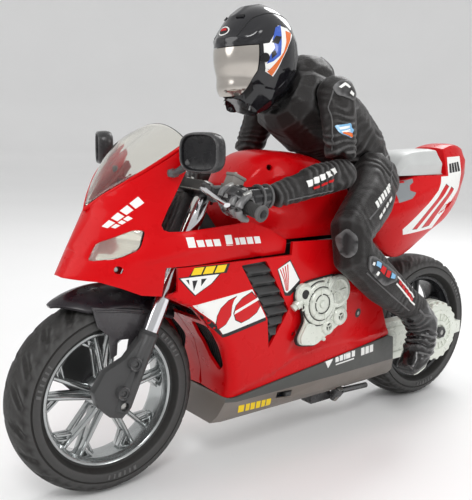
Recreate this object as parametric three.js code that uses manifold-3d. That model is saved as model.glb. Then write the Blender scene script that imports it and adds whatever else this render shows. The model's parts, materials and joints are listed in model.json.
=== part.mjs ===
// Radio controlled sport motorcycle with a rider, 1:6 scale. Millimetres, +X forward, +Y left, +Z up.
// The origin is on the ground, midway between the tyres' outer ends.
import * as THREE from 'three';
import { mergeVertices } from 'three/addons/utils/BufferGeometryUtils.js';
import Module from 'manifold-3d';

const wasm = await Module();
wasm.setup();

// ---------------------------------------------------------------- driving dimensions
const GAP = 0.3;                       // running gap between neighbouring pieces
const WALL = 1.8;                      // thickness of the moulded body panels

const WHEELBASE = 240;
const WHEEL_RADIUS = 50;
const AXLE_HEIGHT = WHEEL_RADIUS;
const LAYOUT_SHIFT = 2.5;             // from the layout's datum to the middle of the overall length
const FRONT_AXLE_X = 117.5;
const REAR_AXLE_X = FRONT_AXLE_X - WHEELBASE;
const AXLE_RADIUS = 2;
const FRONT_TYRE_HALF_WIDTH = 13;
const REAR_TYRE_HALF_WIDTH = 15;
const RIM_RADIUS = 35.4;
const WHEEL_SEGMENTS = 32;

const RAKE = THREE.MathUtils.degToRad(25.5);
const STEERING_OFFSET = 9;             // the steering axis runs this far behind the fork tubes
const FORK_Y = 20;                     // half the spacing of the fork tubes
const FORK_TUBE_RADIUS = 3.2;
const FORK_LEG_RADIUS = 4.8;
const UPPER_TUBE_RADIUS = 4.7;
const FORK_LEG_TOP = 37;               // heights along the fork, measured from the front axle
const LOWER_YOKE = [72.5, 79.5];
const UPPER_YOKE = [112, 117.5];

const GEAR_MODULE = 1;
const WHEEL_TEETH = 32;
const IDLER_TEETH = 20;
const PINION_TEETH = 10;
const GEAR_SPAN = [17.2, 20.4];        // the gear train lies between these two Y values
const STEERING_TEETH = 24;
const SERVO_TEETH = 12;

const BELLY_BOTTOM = 25.5;
const SEAM_HEIGHT = 118;               // seam between the nose fairing and the side fairings
const MIRROR_Y = 49;
const MIRROR_PIVOT = [94.5, 31.6, 163.5];

// ---------------------------------------------------------------- materials
const finish = (color, roughness, metalness) =>
  new THREE.MeshStandardMaterial({ color, roughness, metalness, flatShading: true });
const paint = {
  red: finish(0xd8121c, 0.22, 0),
  white: finish(0xeeeeea, 0.3, 0),
  seat: finish(0xc4c5c3, 0.45, 0.1),
  black: finish(0x1c1b1d, 0.4, 0),
  glossBlack: finish(0x17171a, 0.15, 0),
  darkGrey: finish(0x4c4b4a, 0.5, 0),
  engine: finish(0xdfe3da, 0.35, 0.2),
  chrome: finish(0xd9d9dc, 0.12, 1),
  steel: finish(0xb4b4b0, 0.35, 1),
  silver: finish(0xd4d6d4, 0.25, 0.8),
  rubber: finish(0x2b2926, 0.75, 0),
  clear: finish(0xf1f0e4, 0.1, 0),
  leather: finish(0x4a4442, 0.5, 0),
  visor: finish(0xb8b0a8, 0.15, 0.7),
  nylon: finish(0xe8e4d6, 0.5, 0),
  board: finish(0x1f6b3a, 0.5, 0),
  cell: finish(0x2a4fa0, 0.45, 0),
  brass: finish(0xb99a4a, 0.35, 1),
};

// ---------------------------------------------------------------- solids
const vec = (x, y, z) => new THREE.Vector3(x, y, z);
const Y_AXIS = vec(0, 1, 0);

function enclosedVolume(position, index) {
  const a = vec(), b = vec(), c = vec();
  let volume = 0;
  for (let i = 0; i < index.length; i += 3) {
    a.fromArray(position, 3 * index[i]);
    b.fromArray(position, 3 * index[i + 1]);
    c.fromArray(position, 3 * index[i + 2]);
    volume += a.dot(b.cross(c)) / 6;
  }
  return volume;
}

// A closed three.js geometry as a solid, with its shared corners merged and its faces turned outward.
function solid(geometry) {
  const bare = geometry.clone();
  bare.deleteAttribute('normal');
  bare.deleteAttribute('uv');
  const merged = mergeVertices(bare, 1e-3);
  const position = merged.attributes.position.array;
  const index = merged.index.array;
  const inverted = enclosedVolume(position, index) < 0;
  const triangles = [];
  for (let i = 0; i < index.length; i += 3) {
    const [a, b, c] = [index[i], index[i + 1], index[i + 2]];
    if (a !== b && b !== c && a !== c) triangles.push(a, inverted ? c : b, inverted ? b : c);
  }
  return new wasm.Manifold(new wasm.Mesh({
    numProp: 3,
    vertProperties: Float32Array.from(position),
    triVerts: Uint32Array.from(triangles),
  }));
}

const joined = (...parts) => parts.reduce((whole, part) => whole.add(part));
const cut = (body, ...tools) => tools.reduce((rest, tool) => rest.subtract(tool), body);

const extrusion = (outline, depth) => new THREE.ExtrudeGeometry(
  new THREE.Shape(outline.map(([u, v]) => new THREE.Vector2(u, v))),
  { depth, bevelEnabled: false, curveSegments: 8 },
);

// An outline of [x, z] points, extruded across the machine from y0 to y1.
function sidePlate(outline, y0, y1) {
  const geometry = extrusion(outline, y1 - y0);
  geometry.applyMatrix4(new THREE.Matrix4().makeBasis(vec(1, 0, 0), vec(0, 0, 1), vec(0, -1, 0)));
  return solid(geometry.translate(0, y1, 0));
}

// An outline of [x, y] points, extruded upward from z0 to z1.
const topPlate = (outline, z0, z1) => solid(extrusion(outline, z1 - z0).translate(0, 0, z0));

const box = (x0, x1, y0, y1, z0, z1) => solid(
  new THREE.BoxGeometry(x1 - x0, y1 - y0, z1 - z0).translate((x0 + x1) / 2, (y0 + y1) / 2, (z0 + z1) / 2),
);

// A round bar along any line.
function bar(start, end, startRadius, endRadius = startRadius, sides = 16) {
  const axis = end.clone().sub(start);
  const geometry = new THREE.CylinderGeometry(endRadius, startRadius, axis.length(), sides);
  geometry.applyQuaternion(new THREE.Quaternion().setFromUnitVectors(Y_AXIS, axis.clone().normalize()));
  const middle = start.clone().lerp(end, 0.5);
  return solid(geometry.translate(middle.x, middle.y, middle.z));
}

const crossBar = (radius, x, z, y0, y1, sides = 20) => bar(vec(x, y0, z), vec(x, y1, z), radius, radius, sides);
const AT_REST = new THREE.Matrix4();
const ball = (radius, centre, scale = [1, 1, 1], sides = 10, turn = AT_REST) => solid(
  new THREE.SphereGeometry(radius, sides, sides / 2 + 1).scale(...scale)
    .translate(centre.x, centre.y, centre.z).applyMatrix4(turn),
);

// A ring or disc turned about a line along Y through (x, z); the profile lists [radius, y] points.
function turned(profile, x = 0, z = 0, segments = WHEEL_SEGMENTS) {
  const points = profile.map(([radius, y]) => new THREE.Vector2(radius, y));
  if (profile[0][0] > 0) points.push(points[0].clone());
  return solid(new THREE.LatheGeometry(points, segments).translate(x, 0, z));
}

// A closed skin over rings of equal point count, with both end rings capped.
function loft(rings) {
  const count = rings[0].length;
  const points = rings.flat();
  const middleOf = ring => ring.reduce((sum, point) => sum.clone().add(point), vec(0, 0, 0)).divideScalar(count);
  points.push(middleOf(rings[0]), middleOf(rings[rings.length - 1]));
  const [firstCentre, lastCentre] = [points.length - 2, points.length - 1];
  const lastRing = count * (rings.length - 1);
  const index = [];
  for (let i = 0; i < count; i += 1) {
    const next = (i + 1) % count;
    for (let row = 0; row < lastRing; row += count) {
      index.push(row + i, row + next, row + count + next, row + i, row + count + next, row + count + i);
    }
    index.push(next, i, firstCentre, lastRing + i, lastRing + next, lastCentre);
  }
  const geometry = new THREE.BufferGeometry().setFromPoints(points);
  return solid(geometry.setIndex(index));
}

// A limb or body part: each station is [x, y, z, half width across Y, half depth].
function limb(stations, sides = 10, turn = AT_REST) {
  const centres = stations.map(([x, y, z]) => vec(x, y, z));
  return loft(stations.map(([, , , halfWidth, halfDepth], i) => {
    const ahead = centres[Math.min(i + 1, centres.length - 1)];
    const behind = centres[Math.max(i - 1, 0)];
    const along = ahead.clone().sub(behind).normalize();
    const across = Y_AXIS.clone().addScaledVector(along, -along.y).normalize();
    const depth = along.clone().cross(across);
    return Array.from({ length: sides }, (_, k) => {
      const angle = (2 * Math.PI * (k + 0.5)) / sides;
      return centres[i].clone()
        .addScaledVector(across, halfWidth * Math.cos(angle))
        .addScaledVector(depth, halfDepth * Math.sin(angle))
        .applyMatrix4(turn);
    });
  }));
}

// A curved sheet between an outer grid of points and the same grid moved inward.
function sheet(columns, inward) {
  const [nu, nv] = [columns.length, columns[0].length];
  const outer = columns.flat();
  const points = [...outer, ...outer.map(inward)];
  const at = (u, v, side) => side * nu * nv + u * nv + v;
  const index = [];
  const quad = (a, b, c, d) => index.push(a, b, c, a, c, d);
  for (let u = 0; u < nu - 1; u += 1) {
    for (let v = 0; v < nv - 1; v += 1) {
      quad(at(u, v, 0), at(u, v + 1, 0), at(u + 1, v + 1, 0), at(u + 1, v, 0));
      quad(at(u, v, 1), at(u + 1, v, 1), at(u + 1, v + 1, 1), at(u, v + 1, 1));
    }
    quad(at(u, 0, 0), at(u + 1, 0, 0), at(u + 1, 0, 1), at(u, 0, 1));
    quad(at(u + 1, nv - 1, 0), at(u, nv - 1, 0), at(u, nv - 1, 1), at(u + 1, nv - 1, 1));
  }
  for (let v = 0; v < nv - 1; v += 1) {
    quad(at(0, v + 1, 0), at(0, v, 0), at(0, v, 1), at(0, v + 1, 1));
    quad(at(nu - 1, v, 0), at(nu - 1, v + 1, 0), at(nu - 1, v + 1, 1), at(nu - 1, v, 1));
  }
  return solid(new THREE.BufferGeometry().setFromPoints(points).setIndex(index));
}

// A spur gear's teeth in its own plane, as [u, v] points; phase turns the teeth, in tooth pitches.
function gearOutline(teeth, phase) {
  const pitchRadius = (GEAR_MODULE * teeth) / 2;
  const tip = pitchRadius + 0.8 * GEAR_MODULE;
  const root = pitchRadius - 1.25 * GEAR_MODULE;
  const corners = [[-0.28, root], [-0.11, tip], [0.11, tip], [0.28, root]];
  const outline = [];
  for (let tooth = 0; tooth < teeth; tooth += 1) {
    for (const [offset, radius] of corners) {
      const angle = (2 * Math.PI * (tooth + phase + offset)) / teeth;
      outline.push([radius * Math.cos(angle), radius * Math.sin(angle)]);
    }
  }
  return outline;
}

const mirrored = ([x, y]) => [-x, y];
const interpolate = (table, value) => {
  const last = table.length - 1;
  if (value <= table[0][0]) return table[0][1];
  for (let i = 0; i < last; i += 1) {
    const [[a, p], [b, q]] = [table[i], table[i + 1]];
    if (value <= b) return p + ((q - p) * (value - a)) / (b - a);
  }
  return table[last][1];
};

// ---------------------------------------------------------------- scene graph
const bike = new THREE.Group();
bike.position.x = LAYOUT_SHIFT;
const fork = new THREE.Group();        // local +Z runs up the fork from the front axle
fork.position.set(FRONT_AXLE_X, 0, AXLE_HEIGHT);
fork.rotation.y = -RAKE;
bike.add(fork);

function place(name, body, material, parent = bike, position = [0, 0, 0]) {
  const { numProp, vertProperties, triVerts } = body.getMesh();
  const geometry = new THREE.BufferGeometry();
  geometry.setAttribute('position', new THREE.BufferAttribute(vertProperties, numProp));
  geometry.setIndex(new THREE.BufferAttribute(triVerts, 1));
  geometry.computeVertexNormals();
  const mesh = new THREE.Mesh(geometry, material);
  mesh.name = name;
  mesh.position.set(...position);
  parent.add(mesh);
}

// ---------------------------------------------------------------- gear train layout
const IDLER_A_X = REAR_AXLE_X + (GEAR_MODULE * (WHEEL_TEETH + IDLER_TEETH)) / 2;
const IDLER_B_X = IDLER_A_X + GEAR_MODULE * IDLER_TEETH;
const PINION_X = IDLER_B_X + (GEAR_MODULE * (IDLER_TEETH + PINION_TEETH)) / 2;
const ARM_FACE = 23.2;                 // outer face of the gear case along the arm

// Case outline: a disc round the axle running into an arm that ends round the motor shaft.
function caseOutline(inset) {
  const [disc, arm] = [21 - inset, 13 - inset];
  const outline = [];
  const meet = Math.acos(arm / disc);
  const rearTurn = [Math.PI / 2 - meet, 1.5 * Math.PI + meet];
  for (let i = 0; i <= 14; i += 1) {
    const angle = rearTurn[0] + ((rearTurn[1] - rearTurn[0]) * i) / 14;
    outline.push([REAR_AXLE_X + disc * Math.cos(angle), AXLE_HEIGHT + disc * Math.sin(angle)]);
  }
  for (let i = 0; i <= 6; i += 1) {
    const angle = -Math.PI / 2 + (Math.PI * i) / 6;
    outline.push([PINION_X + 0.7 * arm * Math.cos(angle), AXLE_HEIGHT + arm * Math.sin(angle)]);
  }
  return outline;
}

// ---------------------------------------------------------------- wheels
// Tyre section as [radius, y], from the left bead over the crown to the right bead.
function tyre(halfWidth) {
  const half = [
    [RIM_RADIUS + GAP, 0.70], [RIM_RADIUS + 4, 0.95], [43, 1], [47, 0.85], [49.3, 0.48],
  ];
  const left = half.map(([radius, part]) => [radius, part * halfWidth]);
  const right = left.slice().reverse().map(([radius, y]) => [radius, -y]);
  return turned([...left, [WHEEL_RADIUS, 0], ...right]);
}

// Rim barrel with a hub and five pairs of straight spokes.
function rim(halfWidth, hubHalfWidth, spokeHalfWidth) {
  const edge = 0.62 * halfWidth;
  const barrel = turned([
    [RIM_RADIUS, -edge], [RIM_RADIUS, edge], [RIM_RADIUS - 3, edge], [RIM_RADIUS - 3, -edge],
  ]);
  const hub = turned([[6.5, -hubHalfWidth], [6.5, hubHalfWidth], [2.4, hubHalfWidth], [2.4, -hubHalfWidth]], 0, 0, 16);
  const spokes = [];
  for (let pair = 0; pair < 5; pair += 1) {
    for (const side of [-1, 1]) {
      const direction = Math.PI / 2 + (2 * Math.PI * pair) / 5;
      const [c, s] = [Math.cos(direction), Math.sin(direction)];
      const across = (radius, offset) => [radius * c - side * offset * s, radius * s + side * offset * c];
      spokes.push(sidePlate(
        [across(5, 0.9), across(33, 3.6), across(33, 7), across(5, 2.6)],
        -spokeHalfWidth,
        spokeHalfWidth,
      ));
    }
  }
  return joined(barrel, hub, ...spokes);
}

place('front_tyre', tyre(FRONT_TYRE_HALF_WIDTH), paint.rubber, fork);
place('front_rim', rim(FRONT_TYRE_HALF_WIDTH, 13.5, 3), paint.silver, fork);
place('front_axle', bar(vec(0, -23, 0), vec(0, 23, 0), AXLE_RADIUS, AXLE_RADIUS, 12), paint.steel, fork);

place('rear_tyre', tyre(REAR_TYRE_HALF_WIDTH), paint.rubber, bike, [REAR_AXLE_X, 0, AXLE_HEIGHT]);
place('rear_rim', rim(REAR_TYRE_HALF_WIDTH, 14.6, 3.5), paint.black, bike, [REAR_AXLE_X, 0, AXLE_HEIGHT]);
place('rear_axle', joined(
  bar(vec(0, -23.5, 0), vec(0, 30, 0), AXLE_RADIUS, AXLE_RADIUS, 12),
  bar(vec(0, 27.4, 0), vec(0, 30.2, 0), 4, 4, 6),
), paint.steel, bike, [REAR_AXLE_X, 0, AXLE_HEIGHT]);

// ---------------------------------------------------------------- front fork, in the fork's own frame
const FORK_LEG_OUTLINE = [
  [-4, 32], [-4.6, 0], [-2, -6], [5, -7], [13, -4], [18, 2], [16.5, 13], [8.5, 22], [4.6, 34],
];
const axleHole = bar(vec(0, -40, 0), vec(0, 40, 0), AXLE_RADIUS + GAP, AXLE_RADIUS + GAP, 12);
const SCREW_BOSSES = [[3.7, 21.2], [4.1, 6.2]];

function forkLeg(side) {
  const y = side * FORK_Y;
  const sleeve = bar(vec(0, y, -3), vec(0, y, FORK_LEG_TOP), FORK_LEG_RADIUS, FORK_LEG_RADIUS, 14);
  const carrier = sidePlate(FORK_LEG_OUTLINE, y - 2.6, y + 2.6);
  const bosses = SCREW_BOSSES.map(([x, z]) => crossBar(3.4, x, z, y, y + side * 5.4, 12));
  const recesses = SCREW_BOSSES.map(([x, z]) => crossBar(1.7, x, z, y + side * 3.6, y + side * 6, 8));
  const bore = bar(vec(0, y, 12), vec(0, y, FORK_LEG_TOP + 1), FORK_TUBE_RADIUS + GAP);
  return cut(joined(sleeve, carrier, ...bosses), ...recesses, bore, axleHole);
}
place('fork_leg_left', forkLeg(1), paint.black, fork);
place('fork_leg_right', forkLeg(-1), paint.black, fork);

// One tube: a slim lower part inside the leg and a thicker upper part between the yokes.
const forkTube = side => {
  const y = side * FORK_Y;
  const slim = bar(vec(0, y, 20), vec(0, y, LOWER_YOKE[1] + 1), FORK_TUBE_RADIUS);
  const thick = bar(vec(0, y, LOWER_YOKE[1] + GAP), vec(0, y, UPPER_YOKE[0] - GAP), UPPER_TUBE_RADIUS);
  return joined(slim, thick);
};
place('fork_tube_left', forkTube(1), paint.chrome, fork);
place('fork_tube_right', forkTube(-1), paint.chrome, fork);

const YOKE_OUTLINE = [
  [7, -26], [-5, -26.5], [-8, -17], [-16, -8], [-16, 8], [-8, 17], [-5, 26.5], [7, 26], [9, 12], [9, -12],
];
const tubeHoles = [1, -1].map(side => bar(
  vec(0, side * FORK_Y, 60), vec(0, side * FORK_Y, 100), FORK_TUBE_RADIUS + GAP,
));
const dial = bar(vec(9, 0, UPPER_YOKE[1] - 1), vec(11, 0, UPPER_YOKE[1] + 3.4), 7, 7, 18);
place('upper_yoke', joined(topPlate(YOKE_OUTLINE, ...UPPER_YOKE), dial), paint.black, fork);

// Lower yoke, steering stem and steering gear are one moulding.
const LOWER_YOKE_OUTLINE = [
  [4.5, -25], [-4, -25.8], [-8, -17], [-16, -8], [-16, 8], [-8, 17], [-4, 25.8], [4.5, 25], [8, 12], [8, -12],
];
place('lower_yoke', cut(joined(
  topPlate(LOWER_YOKE_OUTLINE, ...LOWER_YOKE),
  bar(vec(-STEERING_OFFSET, 0, 66), vec(-STEERING_OFFSET, 0, UPPER_YOKE[0] - GAP), 3, 3, 12),
  topPlate(gearOutline(STEERING_TEETH, 0).map(([u, v]) => [u - STEERING_OFFSET, v]), 66, 70),
), ...tubeHoles), paint.black, fork);
const SERVO_X = -STEERING_OFFSET - (GEAR_MODULE * (STEERING_TEETH + SERVO_TEETH)) / 2;
place('servo_gear', cut(
  topPlate(gearOutline(SERVO_TEETH, 0.5).map(([u, v]) => [u + SERVO_X, v]), 66, 70),
  bar(vec(SERVO_X, 0, 60), vec(SERVO_X, 0, 80), 1.3, 1.3, 12),
), paint.nylon, fork);
place('steering_servo', joined(
  box(SERVO_X - 16, SERVO_X + 6.5, -6, 6, 71, 93),
  box(SERVO_X - 20, SERVO_X + 8, -5, 5, 86, 88),
  bar(vec(SERVO_X, 0, 66.5), vec(SERVO_X, 0, 72), 1, 1, 12),
), paint.black, fork);

// Handlebar with its grip, clamp and fluid reservoir; the lever is a piece of its own.
const toFork = (x, y, z) => {
  const [dx, dz] = [x - FRONT_AXLE_X, z - AXLE_HEIGHT];
  return vec(dx * Math.cos(RAKE) + dz * Math.sin(RAKE), y, -dx * Math.sin(RAKE) + dz * Math.cos(RAKE));
};
const GRIP_START = [67, 28, 153];
const GRIP_END = [63, 61, 144.8];
const GRIP_RADIUS = 3.4;

function handlebar(side) {
  const [start, end] = [GRIP_START, GRIP_END].map(([x, y, z]) => toFork(x, side * y, z));
  const along = t => start.clone().lerp(end, t);
  const [x, y, z] = [start.x, start.y, start.z];
  const near = Math.min(y, y + side * 6);
  const clamp = box(x - 6, x + 6, near, near + 6, z - 5, z + 4);
  const reservoir = box(x - 9, x - 1, Math.min(y + side * 1, y + side * 8), Math.max(y + side * 1, y + side * 8),
    z + 3, z + 12);
  return joined(
    bar(start, end, 2.6, 2.6, 12),
    bar(along(0.24), along(0.97), GRIP_RADIUS, GRIP_RADIUS, 12),
    bar(along(0.96), end, GRIP_RADIUS + 0.7, GRIP_RADIUS + 0.7, 12),
    clamp,
    reservoir,
    bar(toFork(68, side * 29, 154), toFork(76, side * 29, 156), 1.8, 1.8, 8),
    bar(toFork(76, side * 27.5, 156), toFork(78, side * 53, 149.5), 1.7, 1.3, 8),
  );
}
place('handlebar_left', handlebar(1), paint.black, fork);
place('handlebar_right', handlebar(-1), paint.black, fork);

// ---------------------------------------------------------------- front fender
// Half width and side drop along the arch; the arch angle is measured at the axle from straight ahead.
const FENDER_RADIUS = 57.3;
const FENDER_WALL = 1.5;
const FENDER_ANGLES = [61, 66, 73, 82, 92, 102, 112, 122, 134];
const fenderHalfWidth = angle => interpolate([[61, 2.5], [66, 9], [73, 14], [82, 15.6], [122, 15.6], [134, 12]], angle);
const fenderColumns = FENDER_ANGLES.map(degrees => {
  const angle = THREE.MathUtils.degToRad(degrees);
  const halfWidth = fenderHalfWidth(degrees);
  const drop = 9.5 * (halfWidth / 15.6) ** 2;
  return [-1, -0.75, -0.4, 0, 0.4, 0.75, 1].map(t => {
    const radius = FENDER_RADIUS - drop * Math.abs(t) ** 2.6;
    return vec(radius * Math.cos(angle), halfWidth * t, radius * Math.sin(angle));
  });
});
const towardsAxle = point => {
  const flat = Math.hypot(point.x, point.z);
  const scale = (flat - FENDER_WALL) / flat;
  return vec(point.x * scale, point.y * (1 - FENDER_WALL / 15.6), point.z * scale);
};
const FENDER_SKIRT = [[6, 48], [-20, 44], [-15, 33.5], [2, 34.5]];
const fender = joined(
  sheet(fenderColumns, towardsAxle),
  ...[1, -1].map(side => {
    const [inner, outer] = [side * 14.1, side * 15.2];
    return sidePlate(FENDER_SKIRT.map(([x, z]) => [x, z]), Math.min(inner, outer), Math.max(inner, outer));
  }),
);
place('front_fender', fender, paint.black, bike, [FRONT_AXLE_X, 0, AXLE_HEIGHT]);

// ---------------------------------------------------------------- master form of the bodywork
// The nose is a wedge in plan: its ridge leans back with height and its flanks round off exponentially.
const NOSE_TIP = [142, 113.8];
const RIDGE_TOP = 145;
const FLANK_WIDTH = 34.5;
const FLANK_LENGTH = 15.5;
const ridgeX = z => {
  const lower = NOSE_TIP[0] - 0.51 * (Math.min(z, RIDGE_TOP) - NOSE_TIP[1]);
  return lower - 0.25 * Math.max(z - RIDGE_TOP, 0);
};
const NOSE_WIDTH = [[100, 0.8], [114, 0.92], [125, 1], [137, 0.955], [150, 0.97], [180, 1.07]];
const NOSE_LEVELS = [100, 114, 125, 137, 150, 165, 182];
const STRIP_TAPER = [[15, 0.88], [65, 1]];

function noseRing(z, inset) {
  const front = ridgeX(z) - 1.8 * inset;
  const backs = [2, 5, 10, 18, 30, front - 65, front - 15];
  const left = backs.map(back => {
    const width = FLANK_WIDTH * interpolate(NOSE_WIDTH, z) - inset;
    return vec(front - back, width * (1 - Math.exp(-back / FLANK_LENGTH)) * interpolate(STRIP_TAPER, front - back), z);
  });
  const right = left.slice().reverse().map(({ x, y }) => vec(x, -y, z));
  return [vec(front, 0, z), ...left, ...right];
}
const noseForm = inset => loft(NOSE_LEVELS.map(z => noseRing(z, inset)));

// The hull below it: half width by height, front face by height, and a taper along its length.
const HULL_WIDTH = [[25.5, 19], [30, 23.5], [38, 26], [56, 28.6], [85, 33], [112, 34.4], [126, 34.5]];
const HULL_FRONT = [
  [25.5, 62], [30, 60], [38, 56.5], [52, 56.5], [70, 61], [82.6, 70], [94, 79.5], [103.5, 98.6], [126, 100],
];
const HULL_TAPER = [[-90, 0.92], [-60, 0.965], [-25, 1], [60, 1], [100, 0.95]];
const HULL_REAR = -84;

function hullRing(z, inset) {
  const front = interpolate(HULL_FRONT, z) - inset;
  const width = interpolate(HULL_WIDTH, z) - inset;
  const left = [front, front - 6, 20, -25, -60, HULL_REAR].map((x, i) => (
    vec(x, width * interpolate(HULL_TAPER, x) * (i === 0 ? 0.9 : 1), z)
  ));
  return [...left, ...left.slice().reverse().map(({ x, y }) => vec(x, -y, z))];
}
const hullForm = inset => loft(HULL_FRONT.map(([z]) => (
  hullRing(z, inset).map(point => (z === BELLY_BOTTOM ? vec(point.x, point.y, z + inset) : point))
)));
const hullShell = cut(hullForm(0), hullForm(WALL));

// ---------------------------------------------------------------- nose fairing, screen and headlights
const NOSE_PROFILE = [
  NOSE_TIP, [125.9, 144.4], [120.8, 151], [112, 158.6], [102, 166.2], [87, 176.8],
  [85, 172], [94.5, 151], [101, 137.5], [97, 135.5], [48, 137.4], [22, 125.6],
  [22, SEAM_HEIGHT + GAP], [99, SEAM_HEIGHT + GAP], [99.4, 103.8], [110, 105.4], [119.5, 109.6], [128, 112.6],
];
const HEADLIGHT_OUTLINE = [[131, 121.8], [126.5, 130.2], [112, 137], [107.5, 136.6], [111, 128], [119, 123.8]];
const shrink = (outline, amount) => {
  const centre = outline.reduce(([a, b], [x, z]) => [a + x / outline.length, b + z / outline.length], [0, 0]);
  return outline.map(([x, z]) => {
    const length = Math.hypot(x - centre[0], z - centre[1]);
    const scale = (length - amount) / length;
    return [centre[0] + (x - centre[0]) * scale, centre[1] + (z - centre[1]) * scale];
  });
};

const noseShell = cut(noseForm(0), noseForm(WALL));
const fairingBlank = noseShell.intersect(sidePlate(NOSE_PROFILE, -60, 60));
place('upper_fairing', cut(
  fairingBlank,
  sidePlate(HEADLIGHT_OUTLINE, 6, 60),
  sidePlate(HEADLIGHT_OUTLINE, -60, -6),
  ...[1, -1].map(side => bar(vec(120.4, side * 15, 118.3), vec(120.4, side * 40, 118.3), 2.2, 2.2, 12)),
), paint.red);

const lensSide = side => sidePlate(
  shrink(HEADLIGHT_OUTLINE, 0.5),
  Math.min(side * 7, side * 60),
  Math.max(side * 7, side * 60),
);
const lightBar = noseForm(1).intersect(box(113.5, 118.5, -40, 40, 127.5, 131.5));
place('headlight_lenses', joined(
  cut(noseForm(0.3), noseForm(1.5)).intersect(joined(lensSide(1), lensSide(-1))),
  lightBar,
), paint.clear);
place('headlight_unit', joined(
  box(104, 112, -13, 13, 124, 135),
  ...[1, -1].map(side => bar(vec(108, side * 8, 129.5), vec(113, side * 8, 129.5), 3.6, 4.6, 12)),
), paint.silver);

const SCREEN_WALL = 1.2;
const screenColumns = [-1, -0.85, -0.6, -0.3, 0, 0.3, 0.6, 0.85, 1].map(u => {
  const part = Math.abs(u);
  const rim = screenFoot(part);
  const top = vec(84.4 + 1.6 * part, 31 * u * (1 - 0.02 * part), 187 - 8.2 * part ** 2);
  return [0, 0.25, 0.5, 0.75, 1].map(v => {
    const bulge = 5 * Math.sin(Math.PI * v) * (1 - part ** 2);
    return vec(
      rim.x + (top.x - rim.x) * v + 0.7 * bulge,
      Math.sign(u) * (rim.y + (Math.abs(top.y) - rim.y) * v),
      rim.z + (top.z - rim.z) * v + 0.7 * bulge,
    );
  });
});
function screenFoot(part) {
  const x = interpolate([[0, 126], [0.3, 119.6], [0.6, 108], [0.85, 96], [1, 88.5]], part);
  const z = interpolate([[0, 145.3], [0.3, 152.7], [0.6, 162.4], [0.85, 171.2], [1, 176.7]], part);
  const back = Math.max(ridgeX(z) - x, 0);
  return vec(x, FLANK_WIDTH * interpolate(NOSE_WIDTH, z) * (1 - Math.exp(-back / FLANK_LENGTH)), z);
}
const SCREEN_CENTRE = vec(78, 0, 138);
const screenSheet = sheet(screenColumns, point => {
  const outward = point.clone().sub(SCREEN_CENTRE).normalize();
  return point.clone().addScaledVector(outward, -SCREEN_WALL);
});
// The screen stands on the fairing's upper edge.
const SCREEN_ZONE = [
  [126.2, 144.7], [121.1, 151.3], [112.3, 158.9], [102.3, 166.5], [87.3, 177.1], [80, 182], [80, 200], [140, 200],
];
place('windscreen', screenSheet.intersect(sidePlate(SCREEN_ZONE, -60, 60)), paint.clear);

// Mirrors on stems that stand on the rear edge of the nose fairing.
function mirror(side) {
  const centre = vec(90, side * MIRROR_Y, 173.5);
  const facing = vec(Math.cos(0.38), side * Math.sin(0.38), 0);
  const across = vec(-facing.y, facing.x, 0);
  const corner = (u, v, w) => centre.clone()
    .addScaledVector(across, u).addScaledVector(facing, w).add(vec(0, 0, v));
  const ring = (halfU, halfV, w) => Array.from({ length: 12 }, (_, k) => {
    const angle = (2 * Math.PI * k) / 12;
    const [c, s] = [Math.cos(angle), Math.sin(angle)];
    return corner(halfU * Math.sign(c) * Math.abs(c) ** 0.6, halfV * Math.sign(s) * Math.abs(s) ** 0.6, w);
  });
  const shell = loft([ring(10.4, 8.6, -4.5), ring(11.2, 9.4, -1), ring(10.2, 8.4, 3.6)]);
  const dish = loft([ring(8.4, 6.6, 2.2), ring(9, 7.2, 6)]);
  const root = vec(MIRROR_PIVOT[0], side * MIRROR_PIVOT[1], MIRROR_PIVOT[2]);
  const stem = bar(root, vec(91.6, side * 41.5, 168.5), 2.3, 3, 8);
  return joined(cut(shell, dish), stem, ball(2.6, root, [1, 1, 1], 8));
}
place('mirror_left', mirror(1), paint.black);
place('mirror_right', mirror(-1), paint.black);

// ---------------------------------------------------------------- side fairings, vents and belly pan
const BELLY_SEAM = [[54, 40.4], [-71.5, 55.6]];
const SIDE_OUTLINE = [
  [98.6, SEAM_HEIGHT - GAP], [98.6, 103], [81, 93], [72, 82], [60, 70], [57.2, 52], [57.2, 42],
  [BELLY_SEAM[0][0], BELLY_SEAM[0][1] + GAP], [BELLY_SEAM[1][0], BELLY_SEAM[1][1] + GAP],
  [-57.8, 81.3], [-45, 122], [20, 124.8], [20.5, SEAM_HEIGHT - GAP],
];
const VENT_OUTLINE = [[55, 115.4], [38.4, 116.2], [20.6, 87], [32, 66], [35.5, 84], [44, 98]];
const VENT_PLATE = [[53.6, 114.6], [39, 115.3], [21.6, 87.2], [31.6, 69.2], [34.9, 84.2], [43.3, 98.4]];

function sideFairing(side) {
  const reach = [side * (WALL + 20), side * 60];
  const [y0, y1] = [Math.min(...reach), Math.max(...reach)];
  const halfSpace = [Math.min(side * 0.2, side * 60), Math.max(side * 0.2, side * 60)];
  const panel = hullShell.intersect(sidePlate(SIDE_OUTLINE, y0, y1));
  const frontWall = hullShell.intersect(sidePlate(
    [[110, 92], [60, 92], [50, 70], [48, 42], [70, 42], [110, 80]], ...halfSpace,
  ));
  // Room for the fork, and below it for the fender's rear end as the fork turns and sinks.
  const forkSpace = joined(
    box(80, 110, ...[0, side * 27].sort((a, b) => a - b), 93, 130),
    box(66, 110, ...[0, side * 25.5].sort((a, b) => a - b), 86.5, 94),
  );
  const armRelief = sidePlate(caseOutline(-0.6), 10, ARM_FACE + 0.4);
  return cut(joined(panel, frontWall), sidePlate(VENT_OUTLINE, y0, y1), forkSpace, armRelief);
}
place('side_fairing_left', sideFairing(1), paint.red);
place('side_fairing_right', sideFairing(-1), paint.red);

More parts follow.
